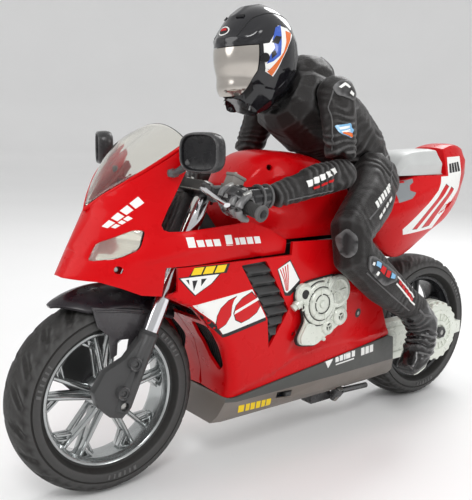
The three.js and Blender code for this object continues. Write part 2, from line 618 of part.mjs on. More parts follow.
// Louvred black panel in the fairing's opening.
function vent(side) {
  const reach = [Math.min(side * 20, side * 60), Math.max(side * 20, side * 60)];
  const plate = cut(hullForm(0.5), hullForm(WALL + 0.4)).intersect(sidePlate(VENT_PLATE, ...reach));
  const slots = [];
  for (let slat = 0; slat < 4; slat += 1) {
    const z = 104 - 7.5 * slat;
    slots.push(sidePlate([[20, z], [60, z + 4], [60, z + 6], [20, z + 2]], ...reach));
  }
  const slotZone = sidePlate(shrink(VENT_OUTLINE, 4), ...reach);
  return cut(plate, ...slots.map(slot => slot.intersect(slotZone)));
}
place('vent_left', vent(1), paint.black);
place('vent_right', vent(-1), paint.black);

const PAN_OUTLINE = [
  [64, 20], [64, 42], [BELLY_SEAM[0][0], BELLY_SEAM[0][1]], [BELLY_SEAM[1][0], BELLY_SEAM[1][1]],
  [-76, 54], [-82, 28], [-80, 20],
];
const SWITCH_WINDOW = [[9.5, 32], [21, 33], [21, 37], [9.5, 36]];
const STAND_PIVOT = vec(-36.8, 17, 22.6);
const STAND_AXIS = vec(0.0375, -0.5875, -0.75).normalize();
const STAND_FOLDED = vec(-1, 0, -0.05).normalize();
const STAND_LENGTH = 26;
const alongStand = (out, down) => STAND_PIVOT.clone()
  .addScaledVector(STAND_FOLDED, out).addScaledVector(STAND_AXIS, down);
const standBracket = joined(
  box(-33, -17, 5, 14, 17.5, BELLY_BOTTOM + 1),
  bar(alongStand(0, 2.4), alongStand(0, 6.2), 3.4, 3.4, 12),
  bar(alongStand(0, 4.9), vec(-30, 10, 20.5), 2.2, 2.2, 8),
);
place('belly_pan', cut(
  joined(hullShell.intersect(sidePlate(PAN_OUTLINE, -60, 60)), standBracket),
  box(-90, -64, -18.4, 18.4, 20, 60),
  sidePlate(SWITCH_WINDOW, 10, 40),
  sidePlate(caseOutline(-0.6), 10, ARM_FACE + 0.4),
  bar(alongStand(0, -5), alongStand(0, 2.2), 4.2, 4.2, 12),
), paint.darkGrey);
place('kickstand', joined(
  bar(alongStand(0, -2), alongStand(0, 2), 3.6, 3.6, 12),
  bar(alongStand(1, 0), alongStand(STAND_LENGTH, 0), 2, 1.8, 8),
  bar(alongStand(0, -3.2), alongStand(0, -1.9), 2.4, 2.4, 8),
), paint.darkGrey);
place('power_switch', joined(box(11, 15, 20.5, 26.2, 33.3, 35.6), box(9, 17, 19.6, 21.6, 32.6, 36.4)), paint.black);

// ---------------------------------------------------------------- engine covers
const COVER_FACE = 34.8;
// Round lobes of the engine cover as [radius, x, z, height].
const COVER_LOBES = [
  [12.5, -0.6, 88.2, 2.4], [9.5, -14, 93.6, 1.8], [5.4, -17, 78.4, 1.8], [6.4, 11.5, 95, 1.5],
  [4.8, -7.4, 73.6, 1.6], [9.4, -0.6, 88.2, 3.2],
];
const COVER_WEB = [
  [14, 66], [2, 64], [-9, 69.5], [-21, 76], [-21.5, 96], [-12, 102.6], [9, 101], [17, 93], [9, 80],
];

function engineCover(side) {
  const lobes = COVER_LOBES.map(([radius, x, z, height]) => (
    crossBar(radius, x, z, side * COVER_FACE, side * (COVER_FACE + height), 12)
  ));
  const reach = [side * COVER_FACE, side * (COVER_FACE + 1)].sort((a, b) => a - b);
  return joined(...lobes, sidePlate(COVER_WEB, ...reach));
}
place('engine_cover_left', engineCover(1), paint.engine);
place('engine_cover_right', engineCover(-1), paint.engine);

// ---------------------------------------------------------------- tank cover
// Sections along the tank as [x, top height, half width]; each section flares out to a skirt at its foot.
const TANK_SECTIONS = [
  [44, 155, 17], [38, 165, 20], [27, 174, 24], [8, 173, 26], [-8, 171.5, 25], [-24, 167, 22.5], [-43, 151, 18],
];
const TANK_FOOT = 125.6;
const tankRing = inset => ([x, top, width]) => {
  const [w, t] = [width - inset, top - inset];
  const skirt = 28.9 - inset;
  const left = [
    [0, t], [0.55 * w, t - 0.6], [0.88 * w, t - 5], [w, t - 14], [w, 141], [skirt, 130.5 - inset], [skirt, TANK_FOOT],
  ];
  const foot = inset ? left.map(([y, z]) => [y, z === TANK_FOOT ? z - 2 : z]) : left;
  return [...foot, ...foot.slice(1).reverse().map(mirrored)].map(([y, z]) => vec(x, y, z));
};
const tankForm = inset => loft(TANK_SECTIONS.map(([x, top, width], i) => {
  const end = i === 0 ? -1 : Number(i === TANK_SECTIONS.length - 1);
  return tankRing(inset)([x + end * inset, top, width]);
}));
place('tank_cover', cut(
  tankForm(0),
  tankForm(WALL),
  crossBar(2, 27, 164.3, 10, 40, 10),
), paint.red);

// ---------------------------------------------------------------- tail cowl and seat
// Tail sections as [x, foot height, waist height, top height, foot half width, waist half width, top half width].
const TAIL_SECTIONS = [
  [-66, 118, 130, 146, 12, 19, 15], [-84, 102, 137, 153.5, 13, 24, 17], [-98, 101, 139, 154.5, 13, 24.5, 17],
  [-126, 117.5, 146, 170, 12, 22, 14], [-140, 123, 148, 176, 13, 20.5, 11.5],
  [-152, 134, 153, 177.5, 13.5, 18, 10.5], [-161, 148, 160, 174, 11, 13, 9],
];
const tailRing = inset => ([x, foot, waist, top, footWidth, waistWidth, topWidth]) => {
  const left = [
    [topWidth - inset, top - inset], [waistWidth - inset, waist + 6], [waistWidth - inset, waist - 3],
    [footWidth - inset, foot],
  ];
  const lowered = left.map(([y, z]) => [y, z === foot && inset ? foot - 3 : z]);
  return [...lowered, ...lowered.slice().reverse().map(mirrored)].map(([y, z]) => vec(x, y, z));
};
const tailForm = inset => loft(TAIL_SECTIONS.map((section, i) => {
  const end = i === 0 ? -inset : Number(i === TAIL_SECTIONS.length - 1) * inset;
  return tailRing(inset)([section[0] + end, ...section.slice(1)]);
}));
const SEAT_POCKET = [[-83, 160], [-83, 156.4], [-131, 156.4], [-137, 180], [-83, 182]];
const underTail = sidePlate([[-60, 90], [-60, 112], [-84, 97], [-100, 97], [-140, 117], [-175, 146], [-175, 90]], -40, 40);
place('tail_cowl', cut(
  tailForm(0),
  tailForm(WALL).intersect(box(-165, -70, -30, 30, 90, 152.6)),
  sidePlate(SEAT_POCKET, -40, 40),
  box(-158, -90, -11.6, 11.6, 90, 130),
), paint.red);
const seatStations = [[-84, 161, 14], [-92, 170.5, 13.5], [-104, 173, 13], [-129, 173.5, 12]];
place('seat_pad', loft(seatStations.map(([x, top, width]) => [
  vec(x, -width, top), vec(x, -18, Math.min(top - 4, 164)), vec(x, -18, 156.8),
  vec(x, 18, 156.8), vec(x, 18, Math.min(top - 4, 164)), vec(x, width, top),
])), paint.seat);

// ---------------------------------------------------------------- chassis and what it holds
const CHASSIS_OUTLINE = [[46, 62], [46, 121], [-44, 121], [-52, 100], [-52, 74], [-34, 70], [-20, 52], [30, 52]];
const CHASSIS_WINDOW = [[36, 66], [36, 110], [-34, 110], [-40, 80], [-16, 62], [26, 62]];
const chassisPlates = [1, -1].map(side => {
  const [y0, y1] = [Math.min(side * 17, side * 20), Math.max(side * 17, side * 20)];
  return cut(sidePlate(CHASSIS_OUTLINE, y0, y1), sidePlate(CHASSIS_WINDOW, y0 - 1, y1 + 1));
});
const crossMembers = [[40, 50, 62, 68], [30, 37, 111, 121], [-52, -45, 96, 102], [-44, -36, 112, 121], [-26, -18, 52, 57]]
  .map(([x0, x1, z0, z1]) => box(x0, Math.min(x1, 46), -18, 18, z0, z1));
// The steering head stands on the chassis, turned to the fork's rake.
const forkToBike = new THREE.Matrix4().makeTranslation(FRONT_AXLE_X, 0, AXLE_HEIGHT)
  .multiply(new THREE.Matrix4().makeRotationY(-RAKE));
const onSteeringAxis = height => vec(-STEERING_OFFSET, 0, height).applyMatrix4(forkToBike);
const headTube = bar(onSteeringAxis(LOWER_YOKE[1] + GAP), onSteeringAxis(UPPER_YOKE[0] - GAP), 7.5, 7.5, 14);
const headBore = bar(onSteeringAxis(60), onSteeringAxis(130), 3 + GAP, 3 + GAP, 12);
const HEAD_STAY = [[70, 140], [66, 124], [36, 111], [30, 111], [30, 119], [46, 122.5], [60, 141]];
const headStays = [sidePlate(HEAD_STAY, 6.6, 9.8), sidePlate(HEAD_STAY, -9.8, -6.6)];
place('chassis', cut(joined(...chassisPlates, ...crossMembers, headTube, ...headStays), headBore), paint.black);

place('battery', box(-8, 44, -15, 15, 28.2, 47), paint.cell);
place('circuit_board', joined(box(-34, 34, -15, 15, 104, 105.6), box(-24, -6, -9, 9, 105.4, 109), box(4, 18, -8, 2, 105.4, 108)),
  paint.board);

const FLYWHEEL = [16, 82];
place('flywheel', turned([
  [21, -7.5], [21, 7.5], [16, 7.5], [16, 2.4], [1.8, 2.4], [1.8, -2.4], [16, -2.4], [16, -7.5],
], ...FLYWHEEL, 20), paint.brass);
place('gyro_motor', joined(
  crossBar(9, ...FLYWHEEL, -16.7, -8.2, 16),
  crossBar(1.5, ...FLYWHEEL, -9, 6, 10),
), paint.steel);

// ---------------------------------------------------------------- gear train in the left swinging arm case
const gearAt = (teeth, phase, x, bore) => cut(
  sidePlate(gearOutline(teeth, phase).map(([u, v]) => [u + x, v + AXLE_HEIGHT]), ...GEAR_SPAN),
  crossBar(bore, x, AXLE_HEIGHT, 10, 30, 10),
);
const gearBoss = crossBar(7, REAR_AXLE_X, AXLE_HEIGHT, 15, GEAR_SPAN[0] + 0.5, 14);
place('wheel_gear', cut(
  joined(gearAt(WHEEL_TEETH, 0, REAR_AXLE_X, 2.4), gearBoss),
  crossBar(2.4, REAR_AXLE_X, AXLE_HEIGHT, 10, 30, 10),
), paint.nylon);
place('idler_gear_rear', gearAt(IDLER_TEETH, 0.5, IDLER_A_X, 1.9), paint.nylon);
place('idler_gear_front', gearAt(IDLER_TEETH, 0, IDLER_B_X, 1.9), paint.nylon);
place('motor_pinion', gearAt(PINION_TEETH, 0.5, PINION_X, 1.4), paint.brass);
place('drive_motor', joined(
  crossBar(9, PINION_X, AXLE_HEIGHT, -16, 15.2, 16),
  crossBar(1.1, PINION_X, AXLE_HEIGHT, 15, GEAR_SPAN[1] + 0.4, 10),
), paint.steel);

const idlerPins = [IDLER_A_X, IDLER_B_X].map(x => crossBar(1.5, x, AXLE_HEIGHT, 16, 21.2, 10));
place('gearbox_case', joined(
  cut(
    sidePlate(caseOutline(0), 15.6, 21.4),
    sidePlate(caseOutline(1.6), 16.7, 30),
    crossBar(8.4, REAR_AXLE_X, AXLE_HEIGHT, 10, 30, 16),
    crossBar(3, PINION_X, AXLE_HEIGHT, 10, 30, 10),
  ),
  ...idlerPins,
), paint.engine);
place('gearbox_cover', cut(
  joined(
    sidePlate(caseOutline(0), 21.7, ARM_FACE),
    crossBar(19, REAR_AXLE_X, AXLE_HEIGHT, 21.7, 27, 20),
    sidePlate([[-148, 46], [-148, 54], [-138, 55], [-138, 45]], 22, 26.4),
  ),
  crossBar(AXLE_RADIUS + GAP, REAR_AXLE_X, AXLE_HEIGHT, 20, 30, 12),
), paint.engine);
const ARM_OUTLINE = [
  [-54, 63], [-62, 61], [-118, 57], [-128, 56], [-130.5, 50], [-128, 44], [-118, 43], [-62, 39], [-50, 43], [-48, 57],
];
place('swingarm_right', cut(
  sidePlate(ARM_OUTLINE, -21.5, -17),
  crossBar(AXLE_RADIUS + GAP, REAR_AXLE_X, AXLE_HEIGHT, -30, -10, 14),
), paint.black);

// ---------------------------------------------------------------- rider
const SHOULDER = [-12, 31, 204.5];
const ELBOW = [-6, 43, 161];
const WRIST = [43, 44, 151];
const SHOULDER_AXIS = [-0.372, 0.532, 0.761];
const SHOULDER_SWING = 17.4;
const HEAD_PIVOT = [9, 0, 213];
const HEAD_SWING = 25;
const atSide = ([x, y, z], side) => vec(x, side * y, z);

// The same body part at several angles about a pivot, joined into the space it sweeps.
function swept(makeBody, pivot, axis, degrees) {
  const turns = [-1, 0, 1].map(part => {
    const turn = new THREE.Matrix4().makeRotationAxis(axis, THREE.MathUtils.degToRad(part * degrees));
    return new THREE.Matrix4().makeTranslation(pivot.x, pivot.y, pivot.z)
      .multiply(turn).multiply(new THREE.Matrix4().makeTranslation(-pivot.x, -pivot.y, -pivot.z));
  });
  return joined(...turns.map(matrix => makeBody(matrix)));
}
const upperArmStations = (side, grow) => {
  const [sx, sy, sz] = SHOULDER;
  return [
    [sx, side * sy, sz, 10.5 + grow, 11.2 + grow], [sx + 1, side * (sy + 4.5), sz - 16, 9.6 + grow, 11 + grow],
    [ELBOW[0] - 1, side * (ELBOW[1] - 1.5), ELBOW[2] + 9, 8.4 + grow, 9 + grow],
  ];
};
const upperArm = (side, grow = 0, turn = AT_REST) => joined(
  ball(11.4 + grow, atSide(SHOULDER, side)),
  limb(upperArmStations(side, grow), 10, turn),
);
const ELBOW_RADIUS = 9.4;
const foreArm = side => joined(
  ball(ELBOW_RADIUS, atSide(ELBOW, side)),
  limb([
    [ELBOW[0], side * ELBOW[1], ELBOW[2], 8.4, 8.8], [12, side * 44, 158.5, 8.8, 9],
    [WRIST[0], side * WRIST[1], WRIST[2], 6.6, 6.6],
  ]),
);

const leg = (side, grow = 0) => limb([
  [-60, 21, 158, 14, 18], [-38, 36, 144, 13.5, 15.5], [-11, 47, 129, 12.4, 13], [-13, 48, 117, 12, 13],
  [-38, 48.2, 97, 11, 12.5], [-63, 46.4, 81.5, 9, 9.5], [-72, 46, 75.5, 7, 7],
].map(([x, y, z, a, b]) => [x, side * y, z, a + grow, b + grow]));

const boot = side => limb([
  [-59, 46.6, 84.5, 9.8, 10], [-70, 46, 77, 9.8, 10.5], [-81, 45.4, 65, 9.4, 11.5], [-80, 45.6, 54, 9, 11.5],
  [-72, 47, 44.5, 8.8, 8], [-64, 48, 39.5, 7.2, 4.6],
].map(([x, y, z, a, b]) => [x, side * y, z, a, b]));

const helmetForm = (grow, turn = AT_REST) => joined(
  ball(24 + grow, vec(20, 0, 224), [1.05, 0.9, 1.16], 16, turn),
  limb([
    [18, 0, 214, 19 + grow, 21 + grow], [25, 0, 203, 15.5 + grow, 17 + grow], [29, 0, 196, 10 + grow, 11 + grow],
  ], 12, turn),
);
const VISOR_OUTLINE = [[56, 226.5], [32.5, 229], [32.5, 215], [38, 201.5], [56, 198]];
const visorZone = amount => sidePlate(shrink(VISOR_OUTLINE, amount), -40, 40);
const neckBore = bar(vec(HEAD_PIVOT[0], 0, 180), vec(HEAD_PIVOT[0], 0, 219), 4.9, 4.9, 14);
place('helmet', cut(helmetForm(0), cut(visorZone(0), helmetForm(-1.7)), neckBore), paint.glossBlack);
place('visor', cut(helmetForm(0), helmetForm(-1.3)).intersect(visorZone(0.4)), paint.visor);

const torsoForm = joined(
  limb([
    [-70, 0, 147, 21, 17], [-64, 0, 160, 24, 21], [-56, 0, 174, 23, 22.5], [-41, 0, 187, 24, 23.5],
    [-20, 0, 195, 26, 25], [-3, 0, 202.5, 26, 21], [7, 0, 208, 14, 12],
  ], 12),
  ball(15, vec(-19, 0, 214), [1.25, 1, 1.02], 10),
);
const headSweep = swept(matrix => helmetForm(0.8, matrix), vec(...HEAD_PIVOT), vec(0, 0, 1), HEAD_SWING);
const armSweep = side => swept(
  matrix => upperArm(side, 0.7, matrix),
  atSide(SHOULDER, side),
  vec(SHOULDER_AXIS[0], side * SHOULDER_AXIS[1], SHOULDER_AXIS[2]),
  SHOULDER_SWING,
);
const seatKeepOut = sidePlate([[-140, 185], [-83.2, 185], [-83.2, 157.4], [-70, 150.6], [-44, 140], [-140, 140]], -40, 40);
const bikeKeepOut = joined(tankForm(-0.5), tailForm(-0.5), seatKeepOut);
const neck = bar(vec(HEAD_PIVOT[0], 0, 198), vec(HEAD_PIVOT[0], 0, 217), 4.4, 4.4, 14);
place('rider_torso', joined(
  cut(torsoForm, headSweep, armSweep(1), armSweep(-1), leg(1, 0.4), leg(-1, 0.4), bikeKeepOut),
  neck,
), paint.leather);

for (const [name, side] of [['left', 1], ['right', -1]]) {
  place(`upper_arm_${name}`, cut(upperArm(side), ball(ELBOW_RADIUS + 0.8, atSide(ELBOW, side))), paint.leather);
  place(`forearm_${name}`, foreArm(side), paint.leather);
  place(`leg_${name}`, cut(joined(leg(side), boot(side)), bikeKeepOut), paint.leather);
}

const gripLine = t => vec(...GRIP_START).lerp(vec(...GRIP_END), t);
function hand(side) {
  const flip = point => vec(point.x, side * point.y, point.z);
  const fist = joined(
    ball(8.8, vec(65.2, side * 43.5, 149.6), [1, 1.05, 0.95], 10),
    limb([[62, side * 43.6, 150, 6.4, 6.4], [47, side * 44, 151.2, 5.6, 5.6]]),
  );
  const grip = bar(flip(gripLine(-0.2)), flip(gripLine(1.2)), GRIP_RADIUS + 0.6, GRIP_RADIUS + 0.6, 12);
  const leverSpace = bar(vec(76, side * 27.5, 156), vec(78, side * 53, 149.5), 2.6, 2.2, 8);
  return cut(fist, grip, leverSpace);
}
place('hand_left', hand(1), paint.glossBlack);
place('hand_right', hand(-1), paint.glossBlack);

export default bike;
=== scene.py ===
import json
import math

import bmesh
import bpy
import numpy as np
from mathutils import Matrix, Vector, geometry, noise
from mathutils.bvhtree import BVHTree


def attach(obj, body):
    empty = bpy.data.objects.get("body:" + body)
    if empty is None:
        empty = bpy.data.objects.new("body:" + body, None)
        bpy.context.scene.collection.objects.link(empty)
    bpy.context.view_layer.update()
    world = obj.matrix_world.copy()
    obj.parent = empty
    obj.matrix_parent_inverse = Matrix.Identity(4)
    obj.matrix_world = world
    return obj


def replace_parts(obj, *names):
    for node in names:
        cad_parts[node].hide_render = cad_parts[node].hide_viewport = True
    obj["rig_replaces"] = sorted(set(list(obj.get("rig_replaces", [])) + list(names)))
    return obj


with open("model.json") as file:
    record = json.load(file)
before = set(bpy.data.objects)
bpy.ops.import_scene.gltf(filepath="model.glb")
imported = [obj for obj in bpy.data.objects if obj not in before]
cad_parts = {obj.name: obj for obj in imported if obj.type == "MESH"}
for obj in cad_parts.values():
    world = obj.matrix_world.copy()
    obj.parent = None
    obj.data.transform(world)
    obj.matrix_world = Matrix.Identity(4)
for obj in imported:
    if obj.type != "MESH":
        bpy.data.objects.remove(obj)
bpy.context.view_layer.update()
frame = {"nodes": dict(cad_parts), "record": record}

# Shapes are written in millimetres in the CAD layout, whose datum lies SHIFT ahead of the row frame's.
SHIFT = 2.5
scene = bpy.context.scene
SIDES = (("left", 1), ("right", -1))


def to_row(points):
    """Layout millimetres to row-frame metres."""
    return (np.asarray(points, float).reshape(-1, 3) + (SHIFT, 0, 0)) / 1000


def to_layout(points):
    return np.asarray(points, float).reshape(-1, 3) * 1000 - (SHIFT, 0, 0)


# ---------------------------------------------------------------- materials
def linear(code):
    """A hex colour as linear RGBA."""
    parts = [(code >> shift & 255) / 255 for shift in (16, 8, 0)]
    return [c / 12.92 if c <= 0.04045 else ((c + 0.055) / 1.055) ** 2.4 for c in parts] + [1.0]


def look(name, code, rough, metal=0.0, coat=0.0, vary=0.05, vary_scale=60, grain=0.05, grain_scale=1400,
         rough_vary=0.06, wear=0.0, sheen=0.0, glass=0.0, cells=0.0, cells_scale=700, spec=0.32, glow=0.0,
         spec_tint=None):
    """A finish: base colour with slow variation, uneven roughness, a fine grain and lighter worn edges."""
    mat = bpy.data.materials.new(name)
    mat.use_nodes = True
    nodes, links = mat.node_tree.nodes, mat.node_tree.links
    shader = nodes["Principled BSDF"]
    place = nodes.new("ShaderNodeTexCoord").outputs["Object"]

    def noise_at(scale, detail=3.0):
        node = nodes.new("ShaderNodeTexNoise")
        node.inputs["Scale"].default_value = scale
        node.inputs["Detail"].default_value = detail
        links.new(place, node.inputs["Vector"])
        return node.outputs["Fac"]

    def ramp(source, low, high, start=0.3, end=0.7):
        node = nodes.new("ShaderNodeMapRange")
        node.inputs["From Min"].default_value = start
        node.inputs["From Max"].default_value = end
        node.inputs["To Min"].default_value = low
        node.inputs["To Max"].default_value = high
        links.new(source, node.inputs["Value"])
        return node.outputs["Result"]

    colour = linear(code)
    mix = nodes.new("ShaderNodeMix")
    mix.data_type = "RGBA"
    mix.inputs["A"].default_value = [c * (1 - vary) for c in colour[:3]] + [1]
    mix.inputs["B"].default_value = [min(c * (1 + vary), 1) for c in colour[:3]] + [1]
    links.new(ramp(noise_at(vary_scale), 0, 1), mix.inputs["Factor"])
    tint = mix.outputs["Result"]
    if wear:
        edge = nodes.new("ShaderNodeMix")
        edge.data_type = "RGBA"
        edge.inputs["B"].default_value = [c + (1 - c) * 0.35 for c in colour[:3]] + [1]
        pointiness = nodes.new("ShaderNodeNewGeometry").outputs["Pointiness"]
        links.new(ramp(pointiness, 0, wear, 0.505, 0.58), edge.inputs["Factor"])
        links.new(tint, edge.inputs["A"])
        tint = edge.outputs["Result"]
    links.new(tint, shader.inputs["Base Color"])
    links.new(ramp(noise_at(vary_scale * 4), max(rough - rough_vary, 0.02), rough + rough_vary),
              shader.inputs["Roughness"])
    shader.inputs["Metallic"].default_value = metal
    shader.inputs["Coat Weight"].default_value = coat
    shader.inputs["Coat Roughness"].default_value = 0.05
    shader.inputs["Specular IOR Level"].default_value = spec
    shader.inputs["Sheen Weight"].default_value = sheen
    shader.inputs["Transmission Weight"].default_value = glass
    if spec_tint:
        shader.inputs["Specular Tint"].default_value = linear(spec_tint)
    if glow:
        shader.inputs["Emission Color"].default_value = colour
        shader.inputs["Emission Strength"].default_value = glow
    height = noise_at(grain_scale, 2.0)
    if cells:
        crackle = nodes.new("ShaderNodeTexVoronoi")
        crackle.feature = "DISTANCE_TO_EDGE"
        crackle.inputs["Scale"].default_value = cells_scale
        links.new(place, crackle.inputs["Vector"])
        blend = nodes.new("ShaderNodeMath")
        blend.operation = "MULTIPLY_ADD"
        links.new(ramp(crackle.outputs["Distance"], 0, 1, 0, 0.25), blend.inputs[0])
        blend.inputs[1].default_value = cells
        links.new(height, blend.inputs[2])
        height = blend.outputs["Value"]
    bump = nodes.new("ShaderNodeBump")
    bump.inputs["Strength"].default_value = grain
    bump.inputs["Distance"].default_value = 0.0002
    links.new(height, bump.inputs["Height"])
    links.new(bump.outputs["Normal"], shader.inputs["Normal"])
    return mat


LOOKS = {
    "red": look("red_paint", 0xC8060E, 0.3, coat=0.12, vary=0.05, vary_scale=25, grain=0.03,
                spec_tint=0xFF8080),
    # A darker copy of the red paint: painted shade for red parts that lie in shadow inside the nose.
    "red_deep": look("red_paint_shaded", 0x8A0A12, 0.3, coat=0.3, vary=0.06, vary_scale=25, grain=0.05),
    "red_print": look("red_print", 0xC80A12, 0.35, vary=0.05, grain=0.05),
    "white": look("white_print", 0xEDEDEA, 0.32, coat=0.3, vary=0.02, grain=0.03),
    "yellow": look("yellow_print", 0xF0CC00, 0.34, coat=0.3, vary=0.04, grain=0.03),
    # Black print, also used for painted shade: the black rings round screw heads and the painted shadows
    # under the white fields.
    "black_print": look("black_print", 0x141315, 0.35, coat=0.2, vary=0.1, grain=0.04),
    "orange": look("orange_print", 0xE06A1C, 0.25, coat=0.8, vary=0.04, grain=0.02),
    "blue": look("blue_print", 0x2F57B8, 0.25, coat=0.8, vary=0.05, grain=0.02),
    "cyan": look("pale_blue_print", 0x7FB6DE, 0.3, coat=0.4, vary=0.04, grain=0.02),
    "black": look("black_moulding", 0x0D0D0F, 0.36, vary=0.12, grain=0.12, grain_scale=2200, wear=0.15),
    "satin": look("black_satin", 0x111013, 0.28, vary=0.1, grain=0.06, wear=0.25),
    "fender": look("fender_black", 0x1A141A, 0.3, coat=0.15, vary=0.1, grain=0.08, wear=0.2),
    "vent": look("vent_black", 0x0D0E0F, 0.33, vary=0.1, grain=0.08, wear=0.12),
    "pan": look("pan_grey", 0x3A3B38, 0.5, vary=0.08, grain=0.25, grain_scale=1800, wear=0.25),
    "pan_light": look("pan_light_grey", 0x6E665F, 0.46, vary=0.08, grain=0.2, grain_scale=1800, wear=0.3),
    "engine": look("engine_white", 0xD6DAD0, 0.3, metal=0.15, coat=0.35, vary=0.05, grain=0.12,
                   grain_scale=1600),
    "engine_dark": look("engine_shadow", 0x2A2B2B, 0.5, vary=0.1, grain=0.15),
    "seat": look("seat_silver", 0xC2C4C3, 0.4, metal=0.1, vary=0.04, grain=0.3, grain_scale=1500,
                 cells=0.5),
    # A darker copy of the seat's silver: painted shade for the seat's side.
    "seat_grey": look("seat_grey", 0x868A8D, 0.45, vary=0.05, grain=0.25, grain_scale=1500),
    "rubber": look("tyre_rubber", 0x191715, 0.62, vary=0.15, vary_scale=120, grain=0.5, grain_scale=2600,
                   wear=0.3, spec=0.4),
    "chrome": look("chrome", 0xDCDCDF, 0.12, metal=1, vary=0.03, grain=0.02, rough_vary=0.04),
    "silver": look("rim_silver", 0xB2B5B5, 0.2, metal=0.9, vary=0.04, grain=0.05, rough_vary=0.05),
    "rim_black": look("rim_black", 0x1D1D20, 0.3, metal=0.2, vary=0.1, grain=0.06, wear=0.4),
    "steel": look("steel", 0xA9A9A6, 0.32, metal=1, vary=0.06, grain=0.1, rough_vary=0.1),
    "clear": look("clear_plastic", 0xF5F3EA, 0.05, vary=0.01, grain=0.01, rough_vary=0.02, glass=1.0,
                  spec=0.5),
    "lamp": look("lamp_reflector", 0xF2F3F4, 0.14, metal=0.75, vary=0.02, grain=0.05, glow=0.15),
    "suit": look("suit_leather", 0x1A1716, 0.42, vary=0.1, vary_scale=80, grain=0.55, grain_scale=900,
                 cells=0.7, cells_scale=1100, sheen=0.05, wear=0.3),
    "suit_dark": look("suit_pad", 0x1E1C1D, 0.36, vary=0.1, grain=0.4, grain_scale=1000, wear=0.35),
    "boot": look("boot_leather", 0x121011, 0.24, coat=0.3, vary=0.12, grain=0.35, grain_scale=700,
                 wear=0.3),
    "glove": look("glove_black", 0x151416, 0.22, coat=0.3, vary=0.1, grain=0.25, grain_scale=900, wear=0.6),
    "helmet": look("helmet_black", 0x17171B, 0.16, coat=0.6, vary=0.06, grain=0.03),
    "helmet_trim": look("helmet_trim", 0x121214, 0.4, vary=0.1, grain=0.1),
    "visor": look("visor_silver", 0xB9B3AC, 0.17, metal=0.85, coat=0.3, vary=0.05, vary_scale=30,
                  grain=0.02),
    "nylon": look("gear_nylon", 0xE4E0D2, 0.45, vary=0.04, grain=0.15),
    "brass": look("brass", 0xB79748, 0.3, metal=1, vary=0.08, grain=0.1),
    "board": look("circuit_board", 0x1C6335, 0.4, vary=0.12, vary_scale=300, grain=0.2),
    "cell": look("cell_wrap", 0x27499A, 0.35, coat=0.2, vary=0.05, grain=0.1),
}

# ---------------------------------------------------------------- making pieces
MADE = []


def dress(obj, looks, body, stands_for=()):
    """Gives a piece its finishes, the body it rides on and the CAD nodes it stands for."""
    names = [looks] if isinstance(looks, str) else looks
    kept = np.zeros(len(obj.data.polygons), np.int32)
    obj.data.polygons.foreach_get("material_index", kept)
    obj.data.materials.clear()
    for name in names:
        obj.data.materials.append(LOOKS[name])
    obj.data.polygons.foreach_set("material_index", np.minimum(kept, len(names) - 1))
    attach(obj, body)
    if stands_for:
        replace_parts(obj, *([stands_for] if isinstance(stands_for, str) else stands_for))
    MADE.append(obj)
    return obj


def shade(mesh, angle):
    mesh.shade_smooth()
    mesh.set_sharp_from_angle(angle=math.radians(angle))


def raw(name, points, faces, face_looks=None, weld=0.004):
    """A linked object from layout points, welded and with its faces turned outward."""
    mesh = bpy.data.meshes.new(name)
    mesh.from_pydata([tuple(p) for p in to_row(points)], [], [tuple(int(i) for i in f) for f in faces])
    if face_looks is not None:
        mesh.polygons.foreach_set("material_index", np.asarray(face_looks, np.int32))
    bm = bmesh.new()
    bm.from_mesh(mesh)
    bmesh.ops.remove_doubles(bm, verts=bm.verts, dist=weld / 1000)
    bmesh.ops.recalc_face_normals(bm, faces=bm.faces)
    bm.to_mesh(mesh)
    bm.free()
    obj = bpy.data.objects.new(name, mesh)
    scene.collection.objects.link(obj)
    return obj


def baked(obj):
    """Applies the object's modifiers to its mesh."""
    bpy.context.view_layer.update()
    graph = bpy.context.evaluated_depsgraph_get()
    mesh = bpy.data.meshes.new_from_object(obj.evaluated_get(graph))
    obj.modifiers.clear()
    old, obj.data = obj.data, mesh
    mesh.name = old.name
    bpy.data.meshes.remove(old)
    return obj


def bevelled(obj, width=0.25, angle=30):
    mod = obj.modifiers.new("bevel", "BEVEL")
    mod.width = width / 1000
    mod.segments = 2
    mod.limit_method = "ANGLE"
    mod.angle_limit = math.radians(angle)
    mod.use_clamp_overlap = True
    mod.miter_outer = "MITER_ARC"
    return baked(obj)


def boolean(obj, tool, how="DIFFERENCE", keep_tool=False):
    mod = obj.modifiers.new("cut", "BOOLEAN")
    mod.operation = how
    mod.solver = "MANIFOLD"
    mod.object = tool
    baked(obj)
    if not keep_tool:
        bpy.data.objects.remove(tool)
    return obj


def piece(name, points, faces, looks, body, slot, stands_for=(), face_looks=None, smooth=35, bevel=0.0,
          weld=0.004):
    obj = raw(name, points, faces, face_looks, weld)
    if bevel:
        bevelled(obj, bevel)
    shade(obj.data, smooth)
    return dress(obj, looks, body, stands_for)


def cad_copy(name, node):
    """A copy of a CAD node's mesh, welded and with its flat regions merged."""
    mesh = frame["nodes"][node].data.copy()
    mesh.name = name
    mesh.materials.clear()
    bm = bmesh.new()
    bm.from_mesh(mesh)
    bmesh.ops.remove_doubles(bm, verts=bm.verts, dist=2e-6)
    bmesh.ops.dissolve_limit(bm, angle_limit=math.radians(1.0), verts=bm.verts, edges=bm.edges)
    bm.to_mesh(mesh)
    bm.free()
    obj = bpy.data.objects.new(name, mesh)
    scene.collection.objects.link(obj)
    return obj


NODE_BODY = {n: b for b, names in frame["record"]["behaviour"]["bodies"].items() for n in names}


def paint_faces(obj, choose):
    """Sets each face's finish by choose(centre in layout millimetres, normal)."""
    for face in obj.data.polygons:
        face.material_index = choose(to_layout(face.center)[0], face.normal)


